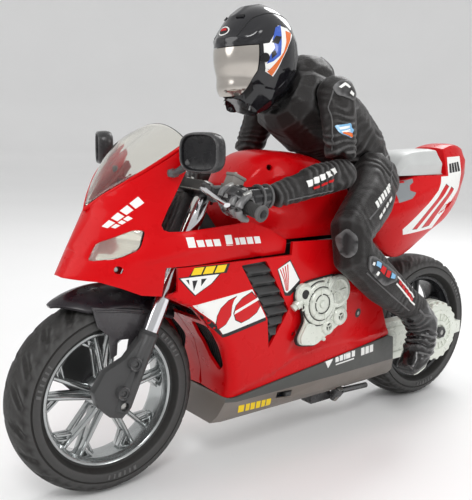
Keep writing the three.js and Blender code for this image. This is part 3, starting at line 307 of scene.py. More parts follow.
def refined(node, looks, width=0.25, angle=30, smooth=38, choose=None):
    """A CAD node with its edges rounded, standing for that node."""
    obj = cad_copy(node + "_part", node)
    bevelled(obj, width, angle)
    shade(obj.data, smooth)
    if choose:
        for name in looks[1:]:
            obj.data.materials.append(LOOKS[name])
        paint_faces(obj, choose)
    return dress(obj, looks, NODE_BODY[node], node)


# ---------------------------------------------------------------- shape tools
def curve(table, soft=0.0):
    """A function through a table of (at, value), optionally smoothed over a distance."""
    at, value = np.array(table, float).T
    if not soft:
        return lambda t: np.interp(t, at, value)
    step = soft / 6
    dense = np.arange(at[0] - 4 * soft, at[-1] + 4 * soft + step, step)
    rise = [(value[1] - value[0]) / (at[1] - at[0]), (value[-1] - value[-2]) / (at[-1] - at[-2])]
    line = np.interp(dense, at, value)
    line += np.minimum(dense - at[0], 0) * rise[0] + np.maximum(dense - at[-1], 0) * rise[1]
    kernel = np.exp(-0.5 * (np.arange(-18, 19) / 6) ** 2)
    padded = np.concatenate([np.full(18, np.nan), line, np.full(18, np.nan)])
    padded[:18] = line[0] - rise[0] * step * np.arange(18, 0, -1)
    padded[-18:] = line[-1] + rise[1] * step * np.arange(1, 19)
    smooth = np.convolve(padded, kernel / kernel.sum(), "valid")
    return lambda t: np.interp(t, dense, smooth)


def step(t, start, end):
    """0 before start, 1 after end, smooth between."""
    part = np.clip((np.asarray(t, float) - start) / (end - start), 0, 1)
    return part * part * (3 - 2 * part)


def inside(points, outline):
    """Which points lie inside the polygon."""
    px, py = points[:, 0], points[:, 1]
    result = np.zeros(len(points), bool)
    for (ax, ay), (bx, by) in zip(outline, np.roll(outline, -1, 0)):
        crosses = (ay > py) != (by > py)
        with np.errstate(divide="ignore", invalid="ignore"):
            result ^= crosses & (px < (bx - ax) * (py - ay) / (by - ay) + ax)
    return result


def divided(line, spacing, closed=True):
    """The line's points with long segments divided."""
    line = np.asarray(line, float)
    ends = np.roll(line, -1, 0) if closed else line[1:]
    out = []
    for a, b in zip(line, ends):
        count = max(1, math.ceil(np.linalg.norm(b - a) / spacing - 1e-6))
        out += [a + (b - a) * i / count for i in range(count)]
    return np.array(out if closed else [*out, line[-1]])


def rounded(outline, radius, points=3):
    """The outline with its corners rounded."""
    outline = np.asarray(outline, float)
    out = []
    for before, corner, after in zip(np.roll(outline, 1, 0), outline, np.roll(outline, -1, 0)):
        ins, outs = before - corner, after - corner
        reach = min(radius, np.linalg.norm(ins) * 0.45, np.linalg.norm(outs) * 0.45)
        a = corner + ins / np.linalg.norm(ins) * reach
        b = corner + outs / np.linalg.norm(outs) * reach
        for i in range(points + 1):
            t = i / points
            out.append((1 - t) ** 2 * a + 2 * t * (1 - t) * corner + t * t * b)
    return np.array(out)


def triangulated(outline, holes=(), lines=(), spacing=2.0):
    """Points and triangles that fill an outline in its own plane, following extra lines."""
    loops = [divided(outline, spacing)] + [divided(h, spacing) for h in holes]
    points, edges = [], []
    for loop in loops:
        start = len(points)
        points += list(loop)
        edges += [(start + i, start + (i + 1) % len(loop)) for i in range(len(loop))]
    for line in lines:
        open_line = divided(line, spacing, closed=False)
        start = len(points)
        points += list(open_line)
        edges += [(start + i, start + i + 1) for i in range(len(open_line) - 1)]
    low, high = np.min(loops[0], 0), np.max(loops[0], 0)
    rows = np.arange(low[1], high[1], spacing * 0.87)
    grid = np.array([[x + (spacing / 2 if r % 2 else 0), y] for r, y in enumerate(rows)
                     for x in np.arange(low[0], high[0], spacing)]).reshape(-1, 2)
    keep = inside(grid, loops[0])
    for hole in loops[1:]:
        keep &= ~inside(grid, hole)
    fixed = np.array(points)
    grid = grid[keep]
    if len(grid):
        near = np.array([np.min(np.sum((fixed - g) ** 2, 1)) for g in grid])
        grid = grid[near > (0.55 * spacing) ** 2]
    every = [Vector(p) for p in points] + [Vector(g) for g in grid]
    flat, _, faces, *_ = geometry.delaunay_2d_cdt(every, edges, [], 0, 1e-5)
    flat = np.array([tuple(v) for v in flat])
    faces = np.array([f for f in faces if len(f) == 3], int)
    middles = flat[faces].mean(1)
    keep = inside(middles, loops[0])
    for hole in loops[1:]:
        keep &= ~inside(middles, hole)
    return flat, faces[keep]


def shell_faces(faces, count, open_edge=None):
    """Both skins and the walls along the border; the inner skin's points follow the outer's."""
    out = [tuple(f) for f in faces] + [tuple(int(i) + count for i in reversed(f)) for f in faces]
    seen = {}
    for f in faces:
        for i in range(len(f)):
            a, b = int(f[i]), int(f[(i + 1) % len(f)])
            seen[(a, b)] = seen.get((a, b), 0) + 1
    for (a, b) in seen:
        if (b, a) not in seen and not (open_edge and open_edge(a, b)):
            out.append((b, a, a + count, b + count))
    return out


def surface_normals(surface, flat):
    """The surface's unit normals at the flat points, from its slope over a short distance each way."""
    size = 0.4
    u, v = flat[:, 0], flat[:, 1]
    du = surface(u + size, v) - surface(u - size, v)
    dv = surface(u, v + size) - surface(u, v - size)
    normal = np.cross(du, dv)
    return normal / np.maximum(np.linalg.norm(normal, axis=1, keepdims=True), 1e-9)


def skin(surface, outline, holes=(), lines=(), thickness=1.6, spacing=2.0, outward=(0, 1, 0)):
    """A panel of some thickness on a surface (u, v) -> points, with its outward side on the surface."""
    flat, faces = triangulated(outline, holes, lines, spacing)
    outer = surface(flat[:, 0], flat[:, 1])
    normal = surface_normals(surface, flat)
    if (normal @ np.array(outward)).mean() < 0:
        normal = -normal
    inner = outer - normal * thickness
    return flat, outer, inner, faces


def flipped(points):
    return np.asarray(points) * (1, -1, 1)


def sweep(path, section, up=(0, 0, 1), scale=None):
    """A capped tube of a section [(across, up)] along a path of points."""
    path = np.asarray(path, float)
    count, sides = len(path), len(section)
    ahead = np.roll(path, -1, 0) - np.roll(path, 1, 0)
    ahead[0], ahead[-1] = path[1] - path[0], path[-1] - path[-2]
    ahead /= np.linalg.norm(ahead, axis=1, keepdims=True)
    points = []
    upward = np.array(up, float)
    for i in range(count):
        across = np.cross(ahead[i], upward)
        if np.linalg.norm(across) < 1e-3:
            across = np.cross(ahead[i], (1, 0, 0))
        across /= np.linalg.norm(across)
        lift = np.cross(across, ahead[i])
        size = 1 if scale is None else scale[i]
        points += [path[i] + (across * a + lift * b) * size for a, b in section]
    faces = []
    for i in range(count - 1):
        j = i + 1
        faces += [(i * sides + k, i * sides + (k + 1) % sides, j * sides + (k + 1) % sides, j * sides + k)
                  for k in range(sides)]
    faces += [tuple(reversed(range(sides))), tuple(range((count - 1) * sides, count * sides))]
    return points, faces


def loft(rings):
    """A capped skin through closed rings of points."""
    count = len(rings[0])
    last = (len(rings) - 1) * count
    faces = [(r + k, r + (k + 1) % count, r + count + (k + 1) % count, r + count + k)
             for r in range(0, last, count) for k in range(count)]
    faces += [tuple(reversed(range(count))), tuple(range(last, last + count))]
    return [p for one in rings for p in one], faces


def circle(radius, sides=12, squash=1.0):
    return [(radius * math.cos(a), radius * squash * math.sin(a))
            for a in (2 * math.pi * k / sides for k in range(sides))]


def rod(start, end, radius, end_radius=None, sides=16):
    """Points and faces of a round bar."""
    ends = [np.array(start, float), np.array(end, float)]
    return sweep(ends, circle(1, sides), scale=[radius, radius if end_radius is None else end_radius])


def lathe(profile, centre=(0, 0, 0), segments=64, axis="y"):
    """A profile of (radius, along) turned about an axis through centre."""
    points, faces = [], []
    for i in range(segments):
        angle = 2 * math.pi * i / segments
        c, s = math.cos(angle), math.sin(angle)
        for radius, along in profile:
            local = {"y": (radius * c, along, radius * s), "x": (along, radius * c, radius * s),
                     "z": (radius * c, radius * s, along)}[axis]
            points.append(np.array(centre, float) + local)
    n = len(profile)
    for i in range(segments):
        j = (i + 1) % segments
        faces += [(i * n + k, i * n + (k + 1) % n, j * n + (k + 1) % n, j * n + k) for k in range(n)]
    return points, faces


def block(x0, x1, y0, y1, z0, z1):
    points = [(x, y, z) for x in (x0, x1) for y in (y0, y1) for z in (z0, z1)]
    return points, [(0, 1, 3, 2), (4, 6, 7, 5), (0, 4, 5, 1), (2, 3, 7, 6), (0, 2, 6, 4), (1, 5, 7, 3)]


def plate(outline, y0, y1):
    """An (x, z) outline extruded across the machine."""
    n = len(outline)
    points = [(x, y0, z) for x, z in outline] + [(x, y1, z) for x, z in outline]
    faces = [tuple(range(n)), tuple(reversed(range(n, 2 * n)))]
    return points, faces + [(i, i + n, (i + 1) % n + n, (i + 1) % n) for i in range(n)]


def several(*parts):
    """Several (points, faces) as one."""
    points, faces = [], []
    for part_points, part_faces in parts:
        start = len(points)
        points += [tuple(p) for p in part_points]
        faces += [tuple(i + start for i in f) for f in part_faces]
    return points, faces


# How far out a mark's ray starts, how far off its surface a point may lie, and how deep its back is sunk.
DECAL_REACH, DECAL_GAP, DECAL_SUNK = 90, 4, 0.15


def tree(obj):
    """A search tree over an object's mesh, in layout millimetres."""
    mesh = obj.data
    points = np.empty(len(mesh.vertices) * 3)
    mesh.vertices.foreach_get("co", points)
    return BVHTree.FromPolygons([tuple(p) for p in to_layout(points)],
                                [tuple(p.vertices) for p in mesh.polygons])


def decal(name, outlines, target, looks, body, slot, side=1, origin=(0, 0, 0), u=(1, 0, 0), n=(0, 1, 0),
          lift=0.1, spacing=1.15):
    """Marks laid on a target surface as thin closed sheets: outlines in (u, up), projected against n.

    A point whose ray passes the surface takes the nearest spot; an outline still too far off is left out.
    """
    up, mirrored = np.array((0, 0, 1.0)), (1, side, 1)
    origin, u, n = (np.array(a, float) for a in (origin, u, n))
    u, n = (a / np.linalg.norm(a) for a in (u, n))

    def cast(base):
        return target.ray_cast(Vector((base + n * DECAL_REACH) * mirrored), Vector(-n * mirrored))

    def depth_of(hit, base):
        return float(np.dot(np.array(hit) * mirrored - base, n))

    parts = []
    for outline in outlines:
        flat, faces = triangulated(np.array(outline, float), spacing=spacing)
        top, bottom = [], []
        middle = origin + u * flat[:, 0].mean() + up * flat[:, 1].mean()
        hit, *_ = cast(middle)
        depth = depth_of(hit, middle) if hit else 0.0
        for a, b in flat:
            base = origin + u * a + up * b
            hit, normal, *_ = cast(base)
            if hit is None:
                hit, normal, _, gap = target.find_nearest(Vector((base + n * depth) * mirrored))
                if hit is None or gap > DECAL_GAP:
                    break
            depth = depth_of(hit, base)
            top.append(hit + normal * lift)
            bottom.append(hit - normal * DECAL_SUNK)
        if len(top) == len(flat):
            parts.append((top + bottom, shell_faces(faces, len(flat))))
    if not parts:
        raise RuntimeError(f"{name} misses its surface")
    return piece(name, *several(*parts), looks, body, slot, smooth=50, weld=0.0005)


# ---------------------------------------------------------------- camera, lights and floor
def set_camera():
    place = Vector((0.27786, 0.31814, 0.18275))
    yaw, pitch, roll = (math.radians(angle) for angle in (-127.37, -9.37, 0.77))
    ahead = Vector((math.cos(pitch) * math.cos(yaw), math.cos(pitch) * math.sin(yaw), math.sin(pitch)))
    right = ahead.cross(Vector((0, 0, 1))).normalized()
    up = right.cross(ahead)
    right, up = (right * math.cos(roll) + up * math.sin(roll), up * math.cos(roll) - right * math.sin(roll))
    data = bpy.data.cameras.new("camera")
    data.lens, data.sensor_width = 51.2, 36
    data.clip_start, data.clip_end = 0.01, 50
    camera = bpy.data.objects.new("camera", data)
    camera.matrix_world = Matrix((right, up, -ahead)).transposed().to_4x4()
    camera.location = place
    scene.collection.objects.link(camera)
    scene.camera = camera


def area_light(name, place, target, size, power):
    data = bpy.data.lights.new(name, "AREA")
    data.shape, data.size, data.energy = "DISK", size, power
    lamp = bpy.data.objects.new(name, data)
    lamp.location = place
    lamp.rotation_mode = "QUATERNION"
    lamp.rotation_quaternion = (Vector(target) - Vector(place)).to_track_quat("-Z", "Y")
    scene.collection.objects.link(lamp)


def set_studio():
    floor_profile = [(0.0, 0.0), (3.0, 0.0), (3.5, 0.08), (3.9, 0.4), (4.1, 1.0), (4.2, 2.4)]
    points, faces = [(0, 0, 0)], []
    around = 64
    for radius, height in floor_profile[1:]:
        points += [(radius * math.cos(2 * math.pi * k / around),
                    radius * math.sin(2 * math.pi * k / around), height) for k in range(around)]
    for k in range(around):
        j = (k + 1) % around
        faces.append((0, 1 + k, 1 + j))
        for ring in range(len(floor_profile) - 2):
            a = 1 + ring * around
            faces.append((a + k, a + around + k, a + around + j, a + j))
    mesh = bpy.data.meshes.new("floor")
    mesh.from_pydata(points, [], faces)
    shade(mesh, 60)
    mesh.materials.append(look("floor_white", 0xF4F4F4, 0.8, vary=0.01, vary_scale=4, grain=0.02, spec=0.2))
    floor = bpy.data.objects.new("floor", mesh)
    scene.collection.objects.link(floor)
    world = bpy.data.worlds.new("studio")
    world.use_nodes = True
    world.node_tree.nodes["Background"].inputs["Color"].default_value = (1, 1, 1, 1)
    world.node_tree.nodes["Background"].inputs["Strength"].default_value = 0.72
    scene.world = world
    area_light("key", (0.55, 0.75, 0.95), (0, 0, 0.12), 0.4, 4.6)
    area_light("fill", (0.9, -0.2, 0.5), (0.05, 0, 0.1), 0.5, 1.5)
    area_light("back", (-0.7, -0.3, 0.8), (0, 0, 0.15), 0.5, 4)
    area_light("side", (-0.35, 0.95, 0.5), (-0.05, 0, 0.1), 0.35, 1.8)
    scene.view_settings.view_transform = "Standard"
    scene.view_settings.look = "None"


set_camera()
set_studio()

# ---------------------------------------------------------------- bodywork: master form of the nose
RIDGE_TOP = 145
NOSE_TIP = (142, 113.8)
FLANK_WIDTH, FLANK_LENGTH = 34.5, 15.5
NOSE_WIDTH = curve([[100, 0.8], [114, 0.92], [125, 1], [137, 0.955], [150, 0.97], [180, 1.07]], 3.5)
STRIP_TAPER = curve([[15, 0.88], [65, 1]], 6)
# The strip stands proud of the panel below along this line of (x, z).
LEDGE = np.array([(22, 113), (41.6, 119.2), (50, 124), (57.7, 126.4), (66.8, 126.8), (86.4, 125.8),
                  (101.2, 122.8), (117.3, 120.2), (123, 119)])
LEDGE_Z = curve(LEDGE, 1.5)


def ridge_x(z):
    z = np.asarray(z, float)
    return NOSE_TIP[0] - 0.51 * (np.minimum(z, RIDGE_TOP) - NOSE_TIP[1]) - 0.25 * np.maximum(z - RIDGE_TOP, 0)


def nose_plain(x, z):
    """Half width of the nose form."""
    back = np.maximum(ridge_x(z) - x, 0)
    return FLANK_WIDTH * NOSE_WIDTH(z) * (1 - np.exp(-back / FLANK_LENGTH)) * STRIP_TAPER(x)


def nose_surface(x, z):
    x, z = np.asarray(x, float), np.asarray(z, float)
    width = nose_plain(x, z)
    proud = step(z - LEDGE_Z(x), -0.9, 0.2) * (1 - step(x, 106, 118))
    belt = np.exp(-((z - LEDGE_Z(x) - 12.5) / 3.0) ** 2) * step(x, 35, 60) * (1 - step(x, 96, 112))
    width = width + 0.9 * proud * step(width, 2, 14) - 0.35 * belt * step(width, 2, 14)
    return np.stack([x, width, z], 1)


NOSE_OUTLINE = [
    NOSE_TIP, *[(float(ridge_x(z)), z) for z in (120, 126, 132, 138, 144.4)],
    (120.8, 151), (112, 158.6), (102, 166.2), (87, 176.8), (85, 172), (94.5, 151), (100.4, 139),
    (99.6, 136.6), (97, 135.6), (90, 135.4), (48, 137.4), (34, 132.4), (22, 125.6), (22, 118.3),
    (99, 118.3), (99.4, 103.8), (110, 105.4), (119.5, 109.6), (128, 112.6),
]
HEADLIGHT = [(131, 121.8), (126.5, 130.2), (112, 137), (107.5, 136.6), (111, 128), (119, 123.8)]


def ring(x, z, radius, sides=14):
    return [(x + radius * math.cos(2 * math.pi * k / sides), z + radius * math.sin(2 * math.pi * k / sides))
            for k in range(sides)]


def nose_fairing():
    holes = [rounded(HEADLIGHT, 2.2), ring(120.4, 118.3, 1.9)]
    lines = [[(x, float(LEDGE_Z(x)) + rise) for x in np.linspace(26, 116, 46)] for rise in (0.25, -0.95)]
    flat, outer, inner, faces = skin(nose_surface, NOSE_OUTLINE, holes, lines, 1.8, 1.9)
    on_ridge = ridge_x(flat[:, 1]) - flat[:, 0] < 0.05
    outer[on_ridge, 1] = 0
    inner[:, 1] = np.maximum(inner[:, 1], 0)
    inner[on_ridge, 0], inner[on_ridge, 1] = outer[on_ridge, 0] - 3.0, 0
    half = shell_faces(faces, len(flat), lambda a, b: on_ridge[a] and on_ridge[b])
    points = np.vstack([outer, inner])
    obj = raw("nose_fairing", *several((points, half), (flipped(points), half)), weld=0.02)
    bm = bmesh.new()
    bm.from_mesh(obj.data)
    soft = [v for v in bm.verts if abs(v.co.y) < 0.0026 and v.co.x > 0.1]
    for _ in range(4):
        bmesh.ops.smooth_vert(bm, verts=soft, factor=0.5, use_axis_x=True, use_axis_y=True, use_axis_z=False)
    bm.to_mesh(obj.data)
    bm.free()
    bevelled(obj, 0.35, 50)
    shade(obj.data, 42)
    return dress(obj, "red", "bike", "upper_fairing")


nose = nose_fairing()
NOSE_TREE = tree(nose)


def rounded_screws(name, places, radius, body, slot):
    """Round screws sunk in the bodywork at (x, y, z, normal): a round head in a black ring of painted shade.
    """
    parts, face_looks = [], []
    for (x, y, z, normal) in places:
        n = np.array(normal, float)
        n /= np.linalg.norm(n)
        base = np.array((x, y, z), float)
        # The black ring round each head is painted shade for the dark gap of the sunk hole.
        shade_ring = sweep([base - n * 0.8, base + n * 0.15], circle(radius * 1.25, 20))
        head = sweep([base - n * 0.6, base + n * 0.2, base + n * 0.42], circle(radius, 20), scale=[1, 1, 0.8])
        for shape, finish in ((shade_ring, 1), (head, 0)):
            parts.append(shape)
            face_looks += [finish] * len(shape[1])
    points, faces = several(*parts)
    looks = ["steel", "black_print"]
    return piece(name, points, faces, looks, body, slot, face_looks=face_looks, smooth=30)


# ---------------------------------------------------------------- bodywork: hull, side fairings
HULL_WIDTH = curve([[25.5, 19], [30, 23.5], [38, 26], [56, 28.6], [85, 33], [112, 34.4], [126, 34.5]], 2.5)
HULL_FRONT = curve([[25.5, 62], [30, 60], [38, 56.5], [52, 56.5], [70, 61], [82.6, 70], [94, 79.5],
                    [103.5, 98.6], [126, 100]], 1.6)
HULL_TAPER = curve([[-90, 0.92], [-60, 0.965], [-25, 1], [60, 1], [100, 0.95]], 8)
# The rounded front corner: its length along s, its reach forward and its depth inward.
CORNER, CORNER_REACH, CORNER_DEPTH = 6.5, 6, 4.5
# Lines where the side panel changes slope, as (x, z, depth of the change).
VENT_CREASE = np.array([(19.2, 87), (11.9, 69.8), (24, 49.8)])
BAND_CREASE = np.array([(56, 42.5), (25.1, 50.5), (9.7, 57.2), (-16.8, 59.8), (-37.1, 59.9), (-60.7, 58)])


def hull_relief(x, z):
    """How far the side panel's detail stands out from the plain hull."""
    band = np.interp(x, BAND_CREASE[::-1, 0], BAND_CREASE[::-1, 1])
    low = -1.1 * (1 - step(z - band, -1.4, 0.3))
    crease = np.interp(z, VENT_CREASE[::-1, 1], VENT_CREASE[::-1, 0])
    rear = -1.0 * (1 - step(x - crease, -1.6, 0.4)) * step(z, 58, 62) * (1 - step(z, 86, 92))
    lip = -0.9 * (1 - step(x, -2, 19)) * step(z, 96, 120)
    return low + rear + lip


def hull_surface(s, z):
    """s is x along the side; ahead of the corner it runs round it and across the front wall."""
    s, z = np.asarray(s, float), np.asarray(z, float)
    front, width = HULL_FRONT(z), HULL_WIDTH(z)
    start = front - CORNER_REACH
    flat_side = width * HULL_TAPER(np.minimum(s, start)) + hull_relief(np.minimum(s, start), z)
    part = np.clip((s - start) / CORNER, 0, 1) * math.pi / 2
    past = np.maximum(s - start - CORNER, 0)
    x = np.where(s <= start, s, start + CORNER_REACH * np.sin(part))
    y = np.where(s <= start, flat_side, flat_side - CORNER_DEPTH * (1 - np.cos(part)) - past)
    return np.stack([x, np.maximum(y, 0.2), z], 1)


def front_edge(z, y):
    """The value of s where the front wall is y from the middle."""
    start = float(HULL_FRONT(z)) - CORNER_REACH
    half = float(HULL_WIDTH(z) * HULL_TAPER(start) + hull_relief(start, z))
    return start + CORNER + max(half - CORNER_DEPTH - y, 0)


# The front wall's edge as (z, y), from the top down.
FRONT_EDGE = ((103, 30), (98, 29), (94.2, 28), (93.4, 26), (86.6, 25), (86, 0.4), (78, 0.4), (70, 0.4),
              (60, 0.4), (50, 0.4), (42.2, 0.4))
SIDE_OUTLINE = [
    (92.6, 117.7), (92.6, 106), *[(front_edge(z, y), z) for z, y in FRONT_EDGE],
    (54, 40.7), (-71.5, 55.9), (-57.8, 81.3), (-45, 122), (20, 124.8), (20.5, 117.7),
]
VENT_HOLE = [(55, 115.4), (38.4, 116.2), (20.6, 87), (32, 66), (35.5, 84), (44, 98)]
# The intake, as (z, y) on the front wall.
INTAKE = [(84, 26), (80, 27), (60, 24.5), (55, 19), (62, 12), (74, 8), (84, 12)]


def side_fairing(name, side):
    intake = [(front_edge(z, y), z) for z, y in INTAKE]
    holes = [rounded(VENT_HOLE, 1.0, 2), rounded(intake, 2.0, 2), ring(-38, 93, 1.7), ring(14.5, 71.5, 1.6)]
    lines = [[(x, z + d) for x, z in BAND_CREASE[1:-1]] for d in (0.3, -1.4)]
    lines += [[(x + d, z) for x, z in VENT_CREASE[1:]] for d in (0.4, -1.6)]
    flat, outer, inner, faces = skin(hull_surface, SIDE_OUTLINE, holes, lines, 1.8, 2.1, outward=(0.1, 1, 0))
    inner[:, 1] = np.maximum(inner[:, 1], 0.2)
    points = np.vstack([outer, inner])
    if side < 0:
        points = flipped(points)
    obj = raw("side_panel_" + name, points, shell_faces(faces, len(flat)))
    bevelled(obj, 0.35, 50)
    shade(obj.data, 42)
    return dress(obj, "red", "bike", "side_fairing_" + name)


PANELS = {name: side_fairing(name, side) for name, side in SIDES}
PANEL_TREES = {name: tree(obj) for name, obj in PANELS.items()}


# ---------------------------------------------------------------- louvred vents
def vent_plate(name, side):
    def surface(x, z):
        width = HULL_WIDTH(z) * HULL_TAPER(x) - 2.6
        return np.stack([x, width, z], 1)

    outline = np.array(VENT_HOLE)
    middle = outline.mean(0)
    grown = middle + (outline - middle) * 1.06
    flat, outer, inner, faces = skin(surface, grown, thickness=1.2, spacing=3)
    parts = [(np.vstack([outer, inner]), shell_faces(faces, len(flat)))]
    # The louvres: slanted ribs across the opening, each a wedge that leans outward at its foot.
    for slat in range(7):
        z = 112.2 - 6.1 * slat
        lows = [z - 1.8, z + 2.0]
        x_range = []
        for level in lows:
            crossings = []
            for (ax, az), (bx, bz) in zip(VENT_HOLE, VENT_HOLE[1:] + VENT_HOLE[:1]):
                if (az > level) != (bz > level):
                    crossings.append(ax + (bx - ax) * (level - az) / (bz - az))
            x_range.append((min(crossings) + 0.9, max(crossings) - 0.9) if len(crossings) >= 2 else None)
        if None in x_range:
            continue
        (a0, a1), (b0, b1) = x_range
        if min(a1 - a0, b1 - b0) < 2:
            continue
        ribs = []
        for x0, x1, height, out in ((a0, a1, lows[0], 0.35), (a0, a1, lows[0] + 0.9, 0.5),
                                    (b0, b1, lows[1], -1.9)):
            y = float(HULL_WIDTH(height)) + out
            ribs.append(((x0, y, height), (x1, y, height)))
        base = float(HULL_WIDTH(z)) - 2.7
        ribs.append(((b0, base, lows[1]), (b1, base, lows[1])))
        ribs.append(((a0, base, lows[0]), (a1, base, lows[0])))
        left, right = [r[0] for r in ribs], [r[1] for r in ribs]
        n = len(ribs)
        faces = [tuple(range(n)), tuple(reversed(range(n, 2 * n)))]
        faces += [(i, (i + 1) % n, (i + 1) % n + n, i + n) for i in range(n)]
        parts.append((left + right, faces))
    points, faces = several(*parts)
    if side < 0:
        points = flipped(points)
    return piece("vent_louvres_" + name, points, faces, "vent", "bike", "vent_black", "vent_" + name,
                 bevel=0.25)


for side_name, side in SIDES:
    vent_plate(side_name, side)


# ---------------------------------------------------------------- tank and tail: smoothed cages
def cage(name, rings, creases, closed_ring=False):
    """A subdivided skin through rings of points; creases gives a sharpness for each point of a ring."""
    count = len(rings[0])
    points = [p for one in rings for p in one]
    faces = []
    for r in range(len(rings) - 1):
        for k in range(count if closed_ring else count - 1):
            j = (k + 1) % count
            faces.append((r * count + k, r * count + j, (r + 1) * count + j, (r + 1) * count + k))
    faces += [tuple(reversed(range(count))), tuple(range((len(rings) - 1) * count, len(rings) * count))]
    obj = raw(name, points, faces)
    mesh = obj.data
    layer = mesh.attributes.new("crease_edge", "FLOAT", "EDGE")
    for edge in mesh.edges:
        (ra, ka), (rb, kb) = (divmod(v, count) for v in edge.vertices)
        if ra == rb and ra in (0, len(rings) - 1):
            layer.data[edge.index].value = 0.85
        elif ka == kb:
            layer.data[edge.index].value = creases[ka]
    mod = obj.modifiers.new("smooth", "SUBSURF")
    mod.levels = mod.render_levels = 3
    return obj


TANK_SECTIONS = [
    (44, 155, 17), (38, 165, 20), (27, 174, 24), (8, 173, 26),
    (-8, 171.5, 25), (-24, 167, 22.5), (-43, 151, 18),
]
TANK_FOOT, TANK_SKIRT = 125.6, 28.9


def tank_ring(x, top, w):
    left = [(0, top + 0.4), (0.55 * w, top - 0.4), (0.9 * w, top - 4.6), (w + 0.4, top - 14), (w, 141.5),
            (TANK_SKIRT + 0.2, 131), (TANK_SKIRT, TANK_FOOT)]
    return [(x, y, z) for y, z in left[::-1]] + [(x, -y, z) for y, z in left[1:]]


def tank():
    left = [1.0, 0.55, 0.3, 0.5, 0.35, 0.15, 0.0]
    obj = cage("tank_shell", [tank_ring(*s) for s in TANK_SECTIONS], left + left[-2::-1])
    wall = obj.modifiers.new("wall", "SOLIDIFY")
    wall.thickness, wall.offset = 0.0018, -1
    baked(obj)
    for side in (1, -1):
        boolean(obj, raw("slot", *rod((27, side * 14, 164.3), (27, side * 40, 164.3), 1.7)))
        slot = [(30.5, 151.6), (41.2, 149.4), (41.2, 151.0), (30.5, 153.2)]
        boolean(obj, raw("slot", *plate(slot, min(side * 14, side * 30), max(side * 14, side * 30))))
    bevelled(obj, 0.3, 45)
    shade(obj.data, 35)
    dress(obj, "red", "bike", "tank_cover")


tank()

TAIL_SECTIONS = [
    (-66, 118, 130, 146, 12, 19, 15), (-84, 102, 137, 153.5, 13, 24, 17),
    (-98, 101, 139, 154.5, 13, 24.5, 17), (-126, 117.5, 146, 170, 12, 22, 14),
    (-140, 123, 148, 176, 13, 20.5, 11.5), (-152, 134, 153, 177.5, 13.5, 18, 10.5),
    (-161, 148, 160, 174, 11, 13, 9),
]


def tail_ring(x, foot, waist, top, foot_width, waist_width, top_width):
    left = [(foot_width, foot), (waist_width, waist - 3), (waist_width, waist + 6),
            (top_width + 0.3, top - 0.6), (0.55 * top_width, top + 0.5)]
    return [(x, y, z) for y, z in left] + [(x, -y, z) for y, z in left[::-1]]


def tail():
    sharp = [0.8, 0.55, 0.5, 0.5, 0.1]
    obj = cage("tail_shell", [tail_ring(*s) for s in TAIL_SECTIONS], sharp + sharp[::-1], closed_ring=True)
    baked(obj)
    pocket = [(-83, 160), (-83, 156.4), (-131, 156.4), (-137, 180), (-83, 184)]
    boolean(obj, raw("pocket", *plate(pocket, -40, 40)))
    boolean(obj, raw("bay", *block(-158, -90, -11.2, 11.2, 90, 129)))
    # The stepped grip recess under the tail's rear edge.
    for side in (1, -1):
        notch = [(-128, 129.5), (-141, 135), (-143, 138.5), (-131, 134)]
        boolean(obj, raw("notch", *plate(notch, min(side * 15.8, side * 30), max(side * 15.8, side * 30))))
    bevelled(obj, 0.35, 45)
    shade(obj.data, 35)
    return dress(obj, "red", "bike", "tail_cowl")


tail_piece = tail()
TAIL_TREE = tree(tail_piece)


def seat():
    stations = [(-84, 161, 14), (-92, 170.5, 13.5), (-104, 173, 13), (-129, 173.5, 12)]
    rings = []
    for x, top, width in stations:
        low = min(top - 4, 164)
        left = [(18, 156.8), (18, low), (width, top - 0.8), (width * 0.55, top + 0.2)]
        rings.append([(x, y, z) for y, z in left] + [(x, -y, z) for y, z in left[::-1]])
    obj = cage("seat_block", rings, [1, 0.75, 0.6, 0.1, 0.1, 0.6, 0.75, 1], closed_ring=True)
    baked(obj)
    # Shallow grooves that part the block into panels.
    for x in (-99, -114):
        groove = sweep([(x, -16, 172.6), (x, -6, 174.6), (x, 6, 174.6), (x, 16, 172.6)], circle(0.7, 8))
        boolean(obj, raw("groove", *groove))
    bevelled(obj, 0.3, 45)
    shade(obj.data, 35)
    return dress(obj, "seat", "bike", "seat_pad")


seat()


# ---------------------------------------------------------------- windscreen and what shows through it
SCREEN_FOOT_X = curve([[0, 126], [0.3, 119.6], [0.6, 108], [0.85, 96], [1, 88.5]], 0.06)
SCREEN_FOOT_Z = curve([[0, 145.3], [0.3, 152.7], [0.6, 162.4], [0.85, 171.2], [1, 176.7]], 0.06)


def screen_point(u, v, inset=0.0):
    part = abs(u)
    x, z = float(SCREEN_FOOT_X(part)), float(SCREEN_FOOT_Z(part))
    y = float(nose_plain(x, z) / STRIP_TAPER(x))
    top = (84.4 + 1.6 * part, 31 * part * (1 - 0.02 * part), 187 - 8.2 * part ** 2)
    bulge = 5 * math.sin(math.pi * v) * (1 - part ** 2)
    point = np.array([x + (top[0] - x) * v + 0.7 * bulge, y + (top[1] - y) * v,
                      z + (top[2] - z) * v + 0.7 * bulge])
    point[1] *= math.copysign(1, u) if u else 0
    outward = point - (78, 0, 138)
    return point - outward / np.linalg.norm(outward) * inset


def screen_sheet(us, vs, depths):
    nu, nv = len(us), len(vs)
    points = [screen_point(u, v, d) for d in depths for u in us for v in vs]
    faces = [(i * nv + j, i * nv + j + 1, (i + 1) * nv + j + 1, (i + 1) * nv + j)
             for i in range(nu - 1) for j in range(nv - 1)]
    return points, shell_faces(np.array(faces), nu * nv)


